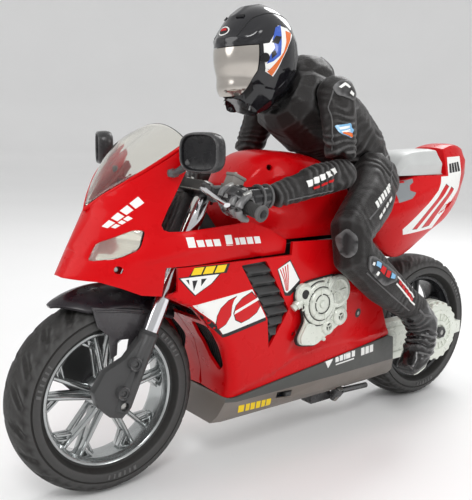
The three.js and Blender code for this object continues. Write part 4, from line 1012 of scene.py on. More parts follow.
def windscreen():
    us = np.sin(np.linspace(-1, 1, 57) * math.pi / 2)
    vs = np.linspace(0.03, 1, 25)
    points, faces = screen_sheet(us, vs, (0, 1.2))
    piece("screen", points, faces, "clear", "bike", "clear", "windscreen", smooth=60, bevel=0.3)
    # The moulded rim along the screen's foot, in the fairing's colour.
    path = [screen_point(u, -0.005, 0.75) for u in np.linspace(-0.985, 0.985, 61)]
    piece("screen_rim", *sweep(path, circle(0.85, 10, 1.3)), "red", "bike", "body_red", smooth=60)


windscreen()


def cockpit():
    """Inner struts of the nose, seen through the screen, and the instrument hood."""
    parts = []
    for side in (1, -1):
        parts.append(sweep([(121, side * 3.2, 144.5), (108, side * 12.5, 151), (96, side * 19.5, 158.5),
                            (88, side * 24.5, 166)], [(1.2, 2.4), (-1.2, 2.4), (-1.2, -2.4), (1.2, -2.4)]))
        parts.append(sweep([(113, 0, 143), (104, side * 7, 150.5), (93, side * 12, 160)], circle(1.1, 8)))
        parts.append(rod((104, side * 15.5, 153.5), (98.5, side * 25.5, 150.5), 1.2, sides=8))
    parts.append(sweep([(96, -19.5, 157), (98.5, 0, 159.5), (96, 19.5, 157)], circle(1.3, 10)))
    # The struts take the darker red as painted shade inside the nose.
    piece("nose_struts", *several(*parts), "red_deep", "bike", "body_red", smooth=40, bevel=0.2)
    angles = np.linspace(-0.25 * math.pi, 1.25 * math.pi, 25)
    sections = ((84.5, 150.5, 12.5, 6.5), (88, 151, 13.2, 7.2), (95, 149.5, 11.5, 5.6), (100, 147, 7, 3))
    hood = [[(x, w * math.cos(a), z + h * math.sin(a)) for a in angles] for x, z, w, h in sections]
    piece("instrument_hood", *loft(hood), "satin", "bike", "trim_black", smooth=40, bevel=0.3)
    dials = [sweep([(84.9, y, 151.2), (84.0, y, 151.2)], circle(r, 28)) for y, r in ((-4.6, 4.2), (5.2, 3.1))]
    piece("instrument_dials", *several(*dials), "white", "bike", "trim_black", smooth=30, bevel=0.15)
    rims = [lathe([(r, -0.5), (r + 0.7, -0.5), (r + 0.7, 0.7), (r, 0.7)], (84.3, y, 151.2), 32, "x")
            for y, r in ((-4.6, 4.0), (5.2, 2.9))]
    hands = [block(83.6, 83.95, y - 0.22, y + 0.22, 151.2, 151.2 + r * 0.8)
             for y, r in ((-4.6, 4.0), (5.2, 2.9))]
    piece("instrument_rims", *several(*rims, *hands), "satin", "bike", "trim_black", smooth=30)


cockpit()


# ---------------------------------------------------------------- headlights
def headlights():
    outline = np.array(HEADLIGHT)
    middle = outline.mean(0)

    def shrunk(amount):
        reach = np.linalg.norm(outline - middle, axis=1, keepdims=True)
        return rounded(middle + (outline - middle) * (reach - amount) / reach, 1.8)

    def inset(depth):
        def surface(x, z):
            return np.stack([x, nose_plain(x + 1.6 * depth, z) - 0.35 * depth, z], 1)
        return surface

    parts, bowls = [], []
    flat, outer, inner, faces = skin(inset(0.25), shrunk(0.35), thickness=1.1, spacing=1.6)
    lens = (np.vstack([outer, inner]), shell_faces(faces, len(flat)))
    flat, outer, inner, faces = skin(inset(2.6), shrunk(-0.8), thickness=0.9, spacing=1.2)
    around = np.linalg.norm((flat - middle) / (12.5, 6.0), axis=1)
    ripple = 0.5 * np.cos((flat[:, 0] + flat[:, 1] * 0.35) * 2.4) * (around < 0.85)
    hollow = 2.4 * np.clip(1 - around ** 2, 0, 1)
    for skin_points in (outer, inner):
        skin_points[:, 1] -= hollow * 0.8 + ripple * 0.35
        skin_points[:, 0] -= hollow * 0.8
    bowl = (np.vstack([outer, inner]), shell_faces(faces, len(flat)))
    for flip in (False, True):
        parts.append((flipped(lens[0]) if flip else lens[0], lens[1]))
        bowls.append((flipped(bowl[0]) if flip else bowl[0], bowl[1]))
    piece("headlight_glass", *several(*parts), "clear", "bike", "clear", "headlight_lenses", smooth=50,
          bevel=0.2)
    piece("headlight_bowls", *several(*bowls), "lamp", "bike", "lamp_silver", smooth=60)


headlights()


# ---------------------------------------------------------------- mirrors
def mirror(name, side):
    centre = np.array([90, side * 49, 173.5])
    facing = np.array([math.cos(0.38), side * math.sin(0.38), 0])
    across = np.array([-facing[1], facing[0], 0])

    def loop(half_u, half_v, w, sides=48):
        out = []
        for k in range(sides):
            angle = 2 * math.pi * k / sides
            c, s = math.cos(angle), math.sin(angle)
            out.append(centre + across * half_u * math.copysign(abs(c) ** 0.62, c) + facing * w
                       + np.array([0, 0, half_v * math.copysign(abs(s) ** 0.62, s)]))
        return out

    profile = [(0.55, -4.7), (0.78, -4.55), (0.9, -4.1), (0.97, -3.0), (1.0, -1.2), (0.99, 0.8), (0.965, 2.4),
               (0.93, 3.3), (0.895, 3.6), (0.86, 3.3), (0.83, 2.2), (0.8, 1.5), (0.7, 1.25), (0.4, 1.15)]
    shell = loft([loop(11.2 * size, 9.4 * size, w) for size, w in profile])
    root = np.array([94.5, side * 31.6, 163.5])
    stem_path = [root, (94.2, side * 35.5, 164.4), (93, side * 39.5, 166.8), (91.4, side * 42.5, 169.5)]
    stem = sweep(stem_path, circle(1, 16, 0.75), scale=[2.5, 2.2, 2.5, 3.0])
    foot = lathe([(0.01, -2.3), (2.6, -1.6), (3.0, 0), (2.6, 1.6), (0.01, 2.3)], root, 24, "z")
    piece("mirror_shell_" + name, *several(shell, stem, foot), "satin", "mirror_" + name[0], "trim_black",
          "mirror_" + name, smooth=40)
    glass_steps = ((0.74, -4.35), (0.76, -4.75), (0.7, -4.95))
    glass = loft([loop(11.2 * size, 9.4 * size, w) for size, w in glass_steps])
    piece("mirror_glass_" + name, *glass, "chrome", "mirror_" + name[0], "lamp_silver", smooth=40)


for side_name, side in SIDES:
    mirror(side_name, side)


# ---------------------------------------------------------------- wheels
FRONT_AXLE, REAR_AXLE = (117.5, 0, 50), (-122.5, 0, 50)


def tyre(name, node, centre, half_width, body, blocks):
    """A tyre with shoulder blocks, a groove at the bead, a raised line and moulded marks on each wall."""
    segments = 144
    half = [(35.6, 0.66), (36.4, 0.74), (38.0, 0.93), (38.5, 0.985), (40.5, 1.0), (42.2, 0.995),
            (42.5, 0.965), (43.0, 0.965), (43.3, 0.98), (44.9, 0.94), (46.4, 0.87), (47.0, 0.83),
            (48.0, 0.73), (48.75, 0.62), (49.35, 0.46), (49.75, 0.28), (49.95, 0.1)]
    profile = [(r, part * half_width) for r, part in half]
    profile += [(r, -y) for r, y in profile[::-1]]
    points, faces = lathe(profile, (0, 0, 0), segments)
    points = np.array(points).reshape(segments, len(profile), 3)
    angles = 2 * math.pi * np.arange(segments) / segments
    for k, (radius, y) in enumerate(profile):
        for i, angle in enumerate(angles):
            cut = 0.0
            turn = math.degrees(angle) % 360
            pitch = 360 / blocks
            if radius > 47.5:
                # Slanted grooves in pairs across the tread, deeper towards the shoulder.
                lean = (turn + abs(y) * (1.3 if blocks > 20 else 0.9)) % pitch
                if lean < 2.6 and abs(y) > half_width * (0.12 if blocks > 20 else 0.3):
                    cut = 1.1
            elif 45.5 < radius <= 47.5 and (turn + 3) % (pitch / 2) < 2.6:
                cut = 0.6
            if cut:
                points[i, k, 0] *= (radius - cut) / radius
                points[i, k, 2] *= (radius - cut) / radius
    parts = [((points.reshape(-1, 3) + centre), faces)]
    # Moulded marks on the walls: short raised bars in groups.
    for y_side in (1, -1):
        for group in range(3):
            for bar in range(6):
                angle = math.radians(group * 120 + bar * 4.2 + 14)
                c, s = math.cos(angle), math.sin(angle)
                wide, r0, r1 = (0.9 if bar % 3 else 1.5), 39.3, 41.5
                base = []
                for depth in (0.965, 1.03):
                    for r, t in ((r0, -wide / 2), (r0, wide / 2), (r1, wide / 2 + 0.3),
                                 (r1, -wide / 2 + 0.3)):
                        base.append(np.array([r * c - t * s, y_side * half_width * depth,
                                              r * s + t * c]) + centre)
                quads = [(0, 1, 2, 3), (7, 6, 5, 4), (0, 4, 5, 1), (1, 5, 6, 2), (2, 6, 7, 3), (3, 7, 4, 0)]
                parts.append((base, quads))
    return piece(name, *several(*parts), "rubber", body, "tyre_rubber", node, smooth=34)


def spoke_pair(direction, y_side, style):
    """Two thin spokes that leave the hub together, part towards the rim and end in chevron feet."""
    c, s = math.cos(direction), math.sin(direction)

    def at(radius, offset, y):
        return np.array([radius * c - offset * s, y, radius * s + offset * c])

    parts = []
    for lean in (1, -1):
        path = [at(4, lean * 1.5, y_side * 4.6), at(12, lean * 2.2, y_side * 4.2),
                at(22, lean * 3.7, y_side * 3.2), at(33.2, lean * 5.6, y_side * 1.8)]
        section = [(1.15, 1.5), (0.45, 2.3), (-0.45, 2.3), (-1.15, 1.5), (-1.15, -1.8), (1.15, -1.8)]
        parts.append(sweep(path, [(a, b * y_side) for a, b in section], up=(0, 1, 0)))
        if style == "front":
            # The chevron foot: slanted blades between the spoke's end and the rim.
            for back in (0, 3.4, 6.8):
                inner = at(31.0 - back, lean * (5.4 - back * 0.14), y_side * 2.1)
                outer = at(32.9 - back * 0.62, lean * (9.3 + 0.4 * back), y_side * 1.3)
                parts.append(sweep([inner, outer], [(0.5, 1.2), (-0.5, 1.2), (-0.5, -1.2), (0.5, -1.2)],
                                   up=(0, 1, 0)))
    return parts


def rim(name, node, centre, half_width, hub_half, looks, body, slot, style):
    edge = 0.64 * half_width
    barrel = [(35.5, edge), (35.7, edge + 0.8), (34.6, edge + 1.2), (33.7, edge + 0.5), (33.3, edge - 1.2),
              (32.2, edge - 2.6), (31.9, 0.8)]
    profile = barrel + [(r, -y) for r, y in barrel[::-1]] + [(33.6, -edge + 1), (34.2, 0), (33.6, edge - 1)]
    parts = [lathe(profile, (0, 0, 0), 96)]
    hub = [(2.6, hub_half - 0.4), (4.4, hub_half), (5.4, hub_half - 1), (5.8, 6.5), (8.2, 5.4), (8.4, 3)]
    hub_profile = hub + [(r, -y) for r, y in hub[::-1]]
    parts.append(lathe(hub_profile, (0, 0, 0), 48))
    for pair in range(5):
        for y_side in (1, -1):
            parts += spoke_pair(math.pi / 2 + 2 * math.pi * pair / 5, y_side, style)
    points, faces = several(*parts)
    piece(name, np.array(points) + centre, faces, looks, body, slot, node, smooth=34, bevel=0.18)


tyre("front_tyre_rubber", "front_tyre", FRONT_AXLE, 13, "front_wheel", 20)
tyre("rear_tyre_rubber", "rear_tyre", REAR_AXLE, 15, "rear_wheel", 30)
rim("front_wheel_rim", "front_rim", FRONT_AXLE, 13, 13.4, "silver", "front_wheel", "rim_silver", "front")
rim("rear_wheel_rim", "rear_rim", REAR_AXLE, 15, 14.5, "rim_black", "rear_wheel", "rim_black", "rear")
# Black hub caps of the front wheel.
caps = [lathe([(2.5, y * 12.2), (6.6, y * 12.2), (7.6, y * 10), (7.8, y * 6.4), (6.1, y * 6.0)], FRONT_AXLE,
              40) for y in (1, -1)]
piece("front_hub_caps", *several(*caps), "black", "front_wheel", "fork_black", smooth=34, bevel=0.15)


# ---------------------------------------------------------------- engine covers
COVER_FACE = 34.8
COVER_WEB = [(14, 66), (2, 64), (-9, 69.5), (-19, 74.5), (-22.5, 79), (-21.5, 96), (-12, 103), (2, 101.8),
             (9, 101), (17, 97), (17, 91), (11.5, 86), (10, 79), (15.5, 70)]


def disc(x, z, profile, segments=56):
    """A turned boss on the side face: profile rows of (radius, height above the cover face)."""
    rows = [(0.01, profile[0][1]), *profile, (profile[-1][0], -1.2), (0.01, -1.2)]
    return lathe([(r, COVER_FACE + h) for r, h in rows], (x, 0, z), segments)


def spokes_on(x, z, count, r0, r1, width, low, high, start=0.0):
    out = []
    for k in range(count):
        angle = start + 2 * math.pi * k / count
        c, s = math.cos(angle), math.sin(angle)
        corners = ((r0, -width), (r1, -width), (r1, width), (r0, width))
        outline = [(x + r * c - t * s, z + r * s + t * c) for r, t in corners]
        out.append(plate(outline, COVER_FACE + low, COVER_FACE + high))
    return out


def engine_cover(name, side):
    parts = [plate([tuple(p) for p in rounded(COVER_WEB, 2.5)], COVER_FACE - 1.2, COVER_FACE + 0.9)]
    # The large disc: a stepped dome with a concentric ring, fins and a hub of small bolts.
    parts.append(disc(-0.6, 88.2, [(5.6, 3.0), (6.2, 3.5), (7.0, 3.7), (8.6, 3.6), (9.2, 3.0), (9.4, 2.2),
                                   (11.4, 2.3), (12.3, 1.9), (12.6, 1.0)]))
    parts += spokes_on(-0.6, 88.2, 6, 5.4, 9.0, 0.35, 3.2, 4.0, 0.3)
    parts += spokes_on(-0.6, 88.2, 12, 10.2, 12.1, 0.3, 2.0, 2.65, 0.1)
    parts.append(disc(-0.6, 88.2, [(1.6, 4.1), (2.0, 3.9), (2.3, 2.9)], 24))
    # The second lobe: a crescent rim round a sunk floor.
    parts.append(disc(-14, 93.6, [(6.0, 1.5), (6.6, 2.3), (7.2, 2.7), (8.8, 2.6), (9.5, 2.0), (9.7, 0.9)]))
    parts += spokes_on(-14, 93.6, 5, 1.5, 6.4, 0.3, 1.2, 2.1, 0.4)
    # Small lobes with round sockets.
    for x, z, radius in ((-17, 78.4, 5.4), (-7.4, 73.6, 4.8)):
        parts.append(disc(x, z, [(2.0, 0.6), (2.2, 2.2), (2.8, 2.6), (radius - 0.9, 2.3), (radius, 1.4)], 36))
        parts += spokes_on(x, z, 3, 0.2, 2.4, 0.3, 0.4, 1.7, 0.5)
    # The pipe stub on the left and its ring.
    parts.append(disc(11.5, 95, [(2.6, 1.9), (3.4, 2.3), (4.4, 2.2), (5.2, 1.5), (6.0, 1.1)], 36))
    parts.append(rod((13.5, COVER_FACE + 0.6, 91.5), (18.6, COVER_FACE - 0.6, 87.5), 1.8, 2.2, 18))
    parts.append(rod((15.4, COVER_FACE + 0.2, 89.8), (16.9, COVER_FACE - 0.1, 88.7), 2.7, 2.7, 18))
    # Slanted fins between the pipe and the large disc, and ribs on the upper shoulder.
    for k in range(4):
        parts.append(rod((13.2 - 1.1 * k, COVER_FACE + 1.2, 85.8 + 2.7 * k),
                         (9.6 - 1.3 * k, COVER_FACE + 2.2, 87.6 + 2.7 * k), 0.55, 0.4, 10))
    for k in range(3):
        x = -4.5 - 3.1 * k
        parts.append(plate([(x, 99.6), (x + 1.5, 99.8), (x + 1.1, 102.7), (x - 0.6, 102.5)],
                           COVER_FACE, COVER_FACE + 2.2))
    # The foot, a thicker pad at the lower left.
    foot = rounded([(13.4, 66.4), (3.2, 64.6), (0.6, 70.5), (3.4, 76.4), (9.4, 78.4), (14.4, 70.5)], 1.6)
    parts.append(plate([tuple(p) for p in foot], COVER_FACE, COVER_FACE + 2.1))
    # Bolt heads on the web.
    for x, z in ((-20.4, 86), (-4.2, 66.8), (-20.2, 97.4), (14.6, 98.2), (11.4, 68.8)):
        parts.append(disc(x, z, [(0.5, 1.5), (0.9, 1.9), (1.2, 1.5)], 14))
    points, faces = several(*parts)
    # Dark shadow lines: grooves round the discs, socket floors and slits beside the fins.
    lines = []
    for x, z, r, h in ((-0.6, 88.2, 12.6, 1.3), (-0.6, 88.2, 9.45, 2.42), (-14, 93.6, 9.7, 1.2),
                       (-0.6, 88.2, 5.2, 3.3)):
        foot, top = COVER_FACE + 0.6, COVER_FACE + h
        lines.append(lathe([(r, foot), (r, top), (r + 0.5, top), (r + 0.5, foot)], (x, 0, z), 56))
    for x, z, r, h in ((-17, 78.4, 2.0, 1.1), (-7.4, 73.6, 2.0, 1.1), (11.5, 95, 2.6, 2.1),
                       (-14, 93.6, 2.2, 1.4)):
        foot, top = COVER_FACE - 0.5, COVER_FACE + h
        lines.append(lathe([(0.01, top), (r, top), (r, foot), (0.01, foot)], (x, 0, z), 28))
    for k in range(4):
        slit = [(13.6 - 1.2 * k, 84.6 + 2.7 * k), (9.2 - 1.2 * k, 86.2 + 2.7 * k),
                (9.2 - 1.2 * k, 87.0 + 2.7 * k), (13.6 - 1.2 * k, 85.6 + 2.7 * k)]
        lines.append(plate(slit, COVER_FACE + 0.4, COVER_FACE + 1.5))
    line_points, line_faces = several(*lines)
    piece("engine_lines_" + name, line_points if side > 0 else flipped(line_points), line_faces,
          "engine_dark", "bike", "engine_white", smooth=40)
    # Painted shade: a dark plate a little larger than the web, under the cover, shows as a dark rim round it.
    web = np.array(COVER_WEB)
    web_edge = rounded(web + (web - (-2.5, 84)) * 0.045, 2)
    shadow = plate([tuple(p) for p in web_edge], COVER_FACE - 1.9, COVER_FACE - 0.2)
    if side < 0:
        points, shadow = flipped(points), (flipped(shadow[0]), shadow[1])
    piece("engine_casting_" + name, points, faces, "engine", "bike", "engine_white", "engine_cover_" + name,
          smooth=32, bevel=0.16)
    piece("engine_backing_" + name, *shadow, "engine_dark", "bike", "vent_black", smooth=30)


for side_name, side in SIDES:
    engine_cover(side_name, side)


# ---------------------------------------------------------------- fork, yokes and cockpit
RAKE = math.radians(25.5)


def on_fork(points):
    """Fork-frame points (its origin is the front axle, its z runs up the fork) in the layout."""
    p = np.asarray(points, float).reshape(-1, 3)
    c, s = math.cos(RAKE), math.sin(RAKE)
    return np.stack([p[:, 0] * c - p[:, 2] * s, p[:, 1], p[:, 0] * s + p[:, 2] * c], 1) + FRONT_AXLE


def to_fork(point):
    """A layout point in the fork frame."""
    dx, y, dz = np.subtract(point, FRONT_AXLE)
    c, s = math.cos(RAKE), math.sin(RAKE)
    return np.array((dx * c + dz * s, y, dz * c - dx * s))


def fork_piece(name, part, looks, body, slot, **rest):
    return piece(name, on_fork(part[0]), part[1], looks, body, slot, **rest)


def fork_details():
    caps, screws, collars = [], [], []
    for name, side in SIDES:
        y = side * 20
        low = lathe([(0.01, 21), (4.05, 21), (4.05, 80), (0.01, 80)], (0, y, 0), 48, "z")
        high = lathe([(0.01, 79.9), (4.5, 79.9), (4.7, 80.2), (4.7, 111.2), (4.5, 111.6), (0.01, 111.6)],
                     (0, y, 0), 40, "z")
        fork_piece("fork_stanchion_" + name, several(low, high), "chrome", "steering",
                   "tube_chrome", stands_for="fork_tube_" + name, smooth=34)
        caps.append(lathe([(0.01, 119.4), (2.2, 119.4), (2.4, 119.0), (2.4, 118.3), (4.2, 118.1),
                           (4.5, 117.7), (4.5, 117.0), (0.01, 117.0)], (0, y, 0), 6, "z"))
        caps.append(lathe([(4.6, 117.2), (5.6, 117.2), (5.6, 118.2), (4.6, 118.2)], (0, y, 0), 32, "z"))
        collars.append(lathe([(4.3, 36.6), (5.1, 36.6), (5.1, 38.2), (4.9, 38.6), (4.3, 38.6)], (0, y, 0),
                             48, "z"))
        for x, z in ((3.7, 21.2), (4.1, 6.2)):
            screws.append(lathe([(0.01, y + side * 4.4), (1.5, y + side * 4.4), (1.5, y + side * 3.2),
                                 (0.01, y + side * 3.2)], (x, 0, z), 20, "y"))
            screws.append(lathe([(2.6, y + side * 5.3), (3.3, y + side * 5.3), (3.3, y + side * 5.75),
                                 (2.6, y + side * 5.75)], (x, 0, z), 32, "y"))
    fork_piece("fork_caps", several(*caps), "steel", "steering", "steel", smooth=30, bevel=0.12)
    fork_piece("fork_seals", several(*collars), "black", "fork_slider", "fork_black", smooth=40, bevel=0.15)
    fork_piece("fork_screws", several(*screws), "satin", "fork_slider", "fork_black", smooth=30, bevel=0.1)
    # Shroud between the tubes, with a ribbed face, and small fittings on the upper yoke.
    shroud = [block(0.4, 6.6, -13.5, 13.5, 81.5, 110.5)]
    shroud += [block(6.2, 7.3, y - 0.6, y + 0.6, 84, 108) for y in (-11, -7.3, -3.7, 0, 3.7, 7.3, 11)]
    fork_piece("fork_shroud", several(*shroud), "satin", "steering", "fork_black", smooth=30, bevel=0.4)
    bits = []
    for x, y, r, h in ((4.5, 8.5, 1.3, 1.6), (4.5, -8.5, 1.3, 1.6), (-6, 8, 1.6, 1.2), (-6, -8, 1.6, 1.2),
                       (-12, 0, 2.4, 2.4), (6.2, 14.5, 1.1, 1.4), (6.2, -14.5, 1.1, 1.4),
                       (-3, 24.4, 1.0, 1.2), (-3, -24.4, 1.0, 1.2)):
        bits.append(lathe([(0.01, 117.5 + h), (r * 0.8, 117.5 + h), (r, 117.5 + h * 0.7), (r, 117.1),
                           (0.01, 117.1)], (x, y, 0), 6 if r < 1.5 else 20, "z"))
    for y in (-13.5, 13.5):
        bits.append(block(-4.5, 3.8, y - 1.0, y + 1.0, 117.1, 118.8))
        bits.append(block(-2.6, 2.0, y - 2.1, y + 2.1, 117.1, 118.1))
    fork_piece("yoke_fittings", several(*bits), "steel", "steering", "steel", smooth=30, bevel=0.15)
    # A bright line along the front edge of the upper yoke.
    edge = [(x, y, 112.2) for x, y in ((7.2, -26.2), (9.2, -12), (9.2, 12), (7.2, 26.2))]
    fork_piece("yoke_edge", sweep(edge, circle(0.4, 8)), "steel", "steering", "steel", smooth=50)


def fork_leg(name, side):
    """The lower leg, bored out for the tube, with raised bosses and a bottom pinch slot."""
    obj = cad_copy("fork_sleeve_" + name, "fork_leg_" + name)
    bore = lathe([(0.01, 13), (4.3, 13), (4.3, 45), (0.01, 45)], (0, side * 20, 0), 48, "z")
    boolean(obj, raw("bore", on_fork(bore[0]), bore[1]))
    slot_part = block(-1.2, 9, side * 20 - 0.5, side * 20 + 0.5, -12, -3.4)
    boolean(obj, raw("slot", on_fork(slot_part[0]), slot_part[1]))
    bevelled(obj, 0.45, 35)
    shade(obj.data, 38)
    dress(obj, "black", "fork_slider", "fork_leg_" + name)


fork_details()
for side_name, side in SIDES:
    fork_leg(side_name, side)

GRIP_START, GRIP_END = np.array((67, 28, 153.0)), np.array((63, 61, 144.8))


def grip_at(t):
    return GRIP_START + (GRIP_END - GRIP_START) * t


def handlebar(name, side):
    mirror_y = np.array((1, side, 1))
    core = rod(grip_at(0), grip_at(1), 2.6, sides=28)
    # Ribbed rubber grip.
    path, sizes = [], []
    for k in range(45):
        t = 0.24 + 0.7 * k / 44
        path.append(grip_at(t))
        sizes.append(3.45 if k % 2 else 3.15)
    grip = sweep(path, circle(1, 24), scale=sizes)
    end_path = [grip_at(t) for t in (0.945, 0.95, 0.985, 1.0)]
    end = sweep(end_path, circle(1, 24), scale=[3.6, 4.1, 4.1, 3.5])
    flange = sweep([grip_at(t) for t in (0.2, 0.235)], circle(1, 28), scale=[4.3, 4.3])
    clamp = sweep([grip_at(t) for t in (-0.02, 0.12)], [(5.0, 3.6), (-5.0, 3.6), (-5.4, -3.8), (5.0, -3.8)])
    screws = [rod(grip_at(0.03) + (s, 0, 3.2), grip_at(0.03) + (s, 0, 4.8), 1.0, sides=6)
              for s in (-3.6, 3.6)]

    def piece_of(label, part, looks, slot, **rest):
        return piece(f"{label}_{name}", np.asarray(part[0]) * mirror_y, part[1], looks, "steering", slot,
                     **rest)

    piece_of("grip", several(grip, end, flange), "rubber", "trim_black", smooth=40)
    piece_of("bar", several(core, clamp), "satin", "trim_black", smooth=35, bevel=0.3,
             stands_for="handlebar_" + name)
    piece_of("bar_screws", several(*screws), "steel", "steel", smooth=30)
    # The lever: bright blade, perch and pivot.
    lever = sweep([(73.5, 27.5, 155.6), (76.5, 30.5, 155.2), (77.6, 38, 153.3), (78.0, 46, 151.1),
                   (78.2, 52.6, 149.3)], circle(1, 14, 0.62), scale=[1.9, 2.2, 1.75, 1.5, 1.9])
    piece_of("lever", lever, "chrome", "tube_chrome", smooth=50)
    perch = [rod((68, 29, 154), (75.5, 29, 155.6), 2.1, 1.9, 16),
             rod((75, 28.4, 153.6), (75, 28.4, 157.6), 1.5, 1.5, 16)]
    piece_of("lever_perch", several(*perch), "satin", "trim_black", smooth=35, bevel=0.2)
    # The fluid reservoir on the clamp, a bevelled box with a lid and two screws.
    start = to_fork(GRIP_START)
    box_part = several(block(-8.8, -1.2, 1.2, 7.8, 3, 10.4), block(-9.2, -0.8, 0.8, 8.2, 10.2, 12))
    placed = (on_fork(np.asarray(box_part[0]) + start), box_part[1])
    piece_of("reservoir", placed, "pan_light", "trim_black", smooth=30, bevel=0.5)
    lid = several(*[lathe([(0.01, 12.4), (0.8, 12.4), (0.8, 11.6), (0.01, 11.6)], (x, y, 0), 14, "z")
                    for x, y in ((-7.6, 2.2), (-2.4, 6.8))])
    piece_of("reservoir_screws", (on_fork(np.asarray(lid[0]) + start), lid[1]), "steel", "steel", smooth=30)


for side_name, side in SIDES:
    handlebar(side_name, side)


# ---------------------------------------------------------------- front fender
def fender():
    half_width = curve([[61, 2.2], [66, 8.6], [73, 13.8], [82, 15.6], [122, 15.6], [134, 12]], 2.0)
    degrees = np.linspace(60.6, 134, 74)
    across = np.linspace(-1, 1, 41)
    outer, inner = [], []
    for angle in degrees:
        wide = float(half_width(angle))
        drop = 9.5 * (wide / 15.6) ** 2
        a = math.radians(angle)
        for t in across:
            radius = 57.3 - drop * abs(t) ** 2.6
            # A raised centre rib.
            radius += 0.35 * math.exp(-((t * wide) / 2.2) ** 2) * (wide > 6)
            point = np.array([radius * math.cos(a), wide * t, radius * math.sin(a)])
            outer.append(point)
            shrink = (radius - 1.5) / radius
            inner.append(point * (shrink, 1 - 1.5 / 15.6, shrink))
    nu, nv = len(degrees), len(across)
    faces = np.array([(i * nv + j, i * nv + j + 1, (i + 1) * nv + j + 1, (i + 1) * nv + j)
                      for i in range(nu - 1) for j in range(nv - 1)])
    parts = [(outer + inner, shell_faces(faces, nu * nv))]
    # Side skirts with a slot, reaching down beside the tyre to the fork leg.
    skirt = [(12, 49.5), (-24, 43), (-18.5, 33.5), (-12, 30), (-9.5, 25.5), (-6.5, 25.5), (-7.6, 31),
             (-1.2, 31.4), (-0.6, 24), (2.6, 22.5), (3.4, 34), (9.5, 39.5)]
    for side in (1, -1):
        shell = plate(skirt, 14.2, 15.3)
        points = np.array(shell[0], float)
        parts.append((points * (1, side, 1), shell[1]))
        rib = sweep([(10.5, 15.5, 47.6), (-4, 15.5, 45.6), (-21, 15.5, 41.6)], circle(0.55, 8))
        parts.append((np.array(rib[0]) * (1, side, 1), rib[1]))
    points, faces = several(*parts)
    piece("fender", np.array(points) + FRONT_AXLE, faces, "fender", "fork_slider", "trim_black",
          "front_fender", smooth=40, bevel=0.22)


fender()


# ---------------------------------------------------------------- belly, gear case and small mechanics
def belly_finish(centre, normal):
    if centre[2] < 25.2 and -35 < centre[0] < -15:
        return 2
    return 0 if centre[2] > 38.0 and abs(centre[1]) > 10 else 1


BELLY_TREE = tree(refined("belly_pan", ["pan", "pan_light", "satin"], 0.35, choose=belly_finish))
refined("kickstand", ["satin", "steel"], 0.3,
        choose=lambda centre, normal: int(centre[2] > 24.4 and centre[0] > -41))


def gear_case_details():
    axle_x, _, axle_z = REAR_AXLE
    ring_part = lathe([(12.2, 27.0), (12.6, 27.8), (14.6, 27.8), (15, 27.0)], REAR_AXLE, 64)
    boss = lathe([(4.6, 27.0), (5.0, 28.2), (7.6, 28.2), (8.0, 27.0)], REAR_AXLE, 48)
    ribs = []
    rib_corners = ((8, -0.45), (12.6, -0.45), (12.6, 0.45), (8, 0.45))
    for k in range(9):
        angle = math.radians(100 + 20 * k)
        c, s = math.cos(angle), math.sin(angle)
        rib = [(axle_x + r * c - t * s, axle_z + r * s + t * c) for r, t in rib_corners]
        ribs.append(plate(rib, 26.6, 27.7))
    scallops = []
    scallop_profile = [(0.01, 26.6), (1.9, 26.6), (2.2, 26.2), (2.2, 24), (0.01, 24)]
    for k in range(12):
        angle = math.radians(75 + 210 * k / 11)
        at = (axle_x + 18.2 * math.cos(angle), 0, axle_z + 18.2 * math.sin(angle))
        scallops.append(lathe(scallop_profile, at, 20))
    arm = [
        sweep([(-104, 23.4, 57.5), (-84, 23.4, 58.5), (-66, 23.4, 57.5)], circle(0.8, 10)),
        sweep([(-104, 23.4, 42.5), (-84, 23.4, 41.5), (-66, 23.4, 42.5)], circle(0.8, 10)),
    ]
    piece("gear_case_ribs", *several(ring_part, boss, *ribs, *scallops, *arm), "engine", "bike",
          "engine_white", smooth=34, bevel=0.15)
    screws = [(x, 23.3, z, (0, 1, 0)) for x, z in ((-96, 50), (-76, 50), (-60, 59), (-60, 41))]
    rounded_screws("gear_case_screws", screws, 1.5, "bike", "steel")
    nut = lathe([(2.0, 30.6), (3.9, 30.6), (4.1, 30.2), (4.1, 27.9), (2.0, 27.9)], REAR_AXLE, 6)
    piece("axle_nut", *nut, "satin", "bike", "fork_black", smooth=30, bevel=0.25)
    plug = lathe([(0.01, 30.2), (1.8, 30.2), (1.95, 29.9), (1.95, -23), (0.01, -23)], REAR_AXLE, 32)
    piece("axle_shaft", *plug, "steel", "bike", "steel", "rear_axle", smooth=34)


gear_case_details()
refined("gearbox_cover", "engine", 0.4, 30, 34)
refined("gearbox_case", "engine", 0.25, 30, 34)


def radiator():
    """Dark core behind the intakes in the front wall."""
    parts = []
    for side in (1, -1):
        levels = [52, 60, 68, 76, 88]
        front = [(float(HULL_FRONT(z)) - 5.5, z) for z in levels]
        back = [(x - 1.6, z) for x, z in front[::-1]]
        parts.append(plate(front + back, min(side * 4, side * 26.5), max(side * 4, side * 26.5)))
        for k in range(9):
            y = side * (6 + 2.3 * k)
            parts.append(plate([(x + 1.3, z) for x, z in front] + [(x - 0.2, z) for x, z in front[::-1]],
                               y - 0.3, y + 0.3))
    piece("radiator_core", *several(*parts), "vent", "bike", "vent_black", smooth=30)


radiator()
screw_places = []
for _, side in SIDES:
    high_y = side * (float(HULL_WIDTH(93) * HULL_TAPER(-38)) - 1.5)
    low_y = side * (float(HULL_WIDTH(71.5)) - 2.4)
    screw_places.append((-38, high_y, 93, (0, side, 0)))
    screw_places.append((14.5, low_y, 71.5, (0, side, 0)))
    screw_places.append((120.4, side * 21.5, 118.3, (0.35, side, 0)))
rounded_screws("body_screws", screw_places, 1.25, "bike", "steel")


# ---------------------------------------------------------------- printed marks: plain bars, no lettering
def on_area(corners, along, up):
    """A point inside a four-cornered area: front bottom, rear bottom, rear top, front top."""
    a, b, c, d = (np.array(p, float) for p in corners)
    return tuple((a * (1 - along) + b * along) * (1 - up) + (d * (1 - along) + c * along) * up)


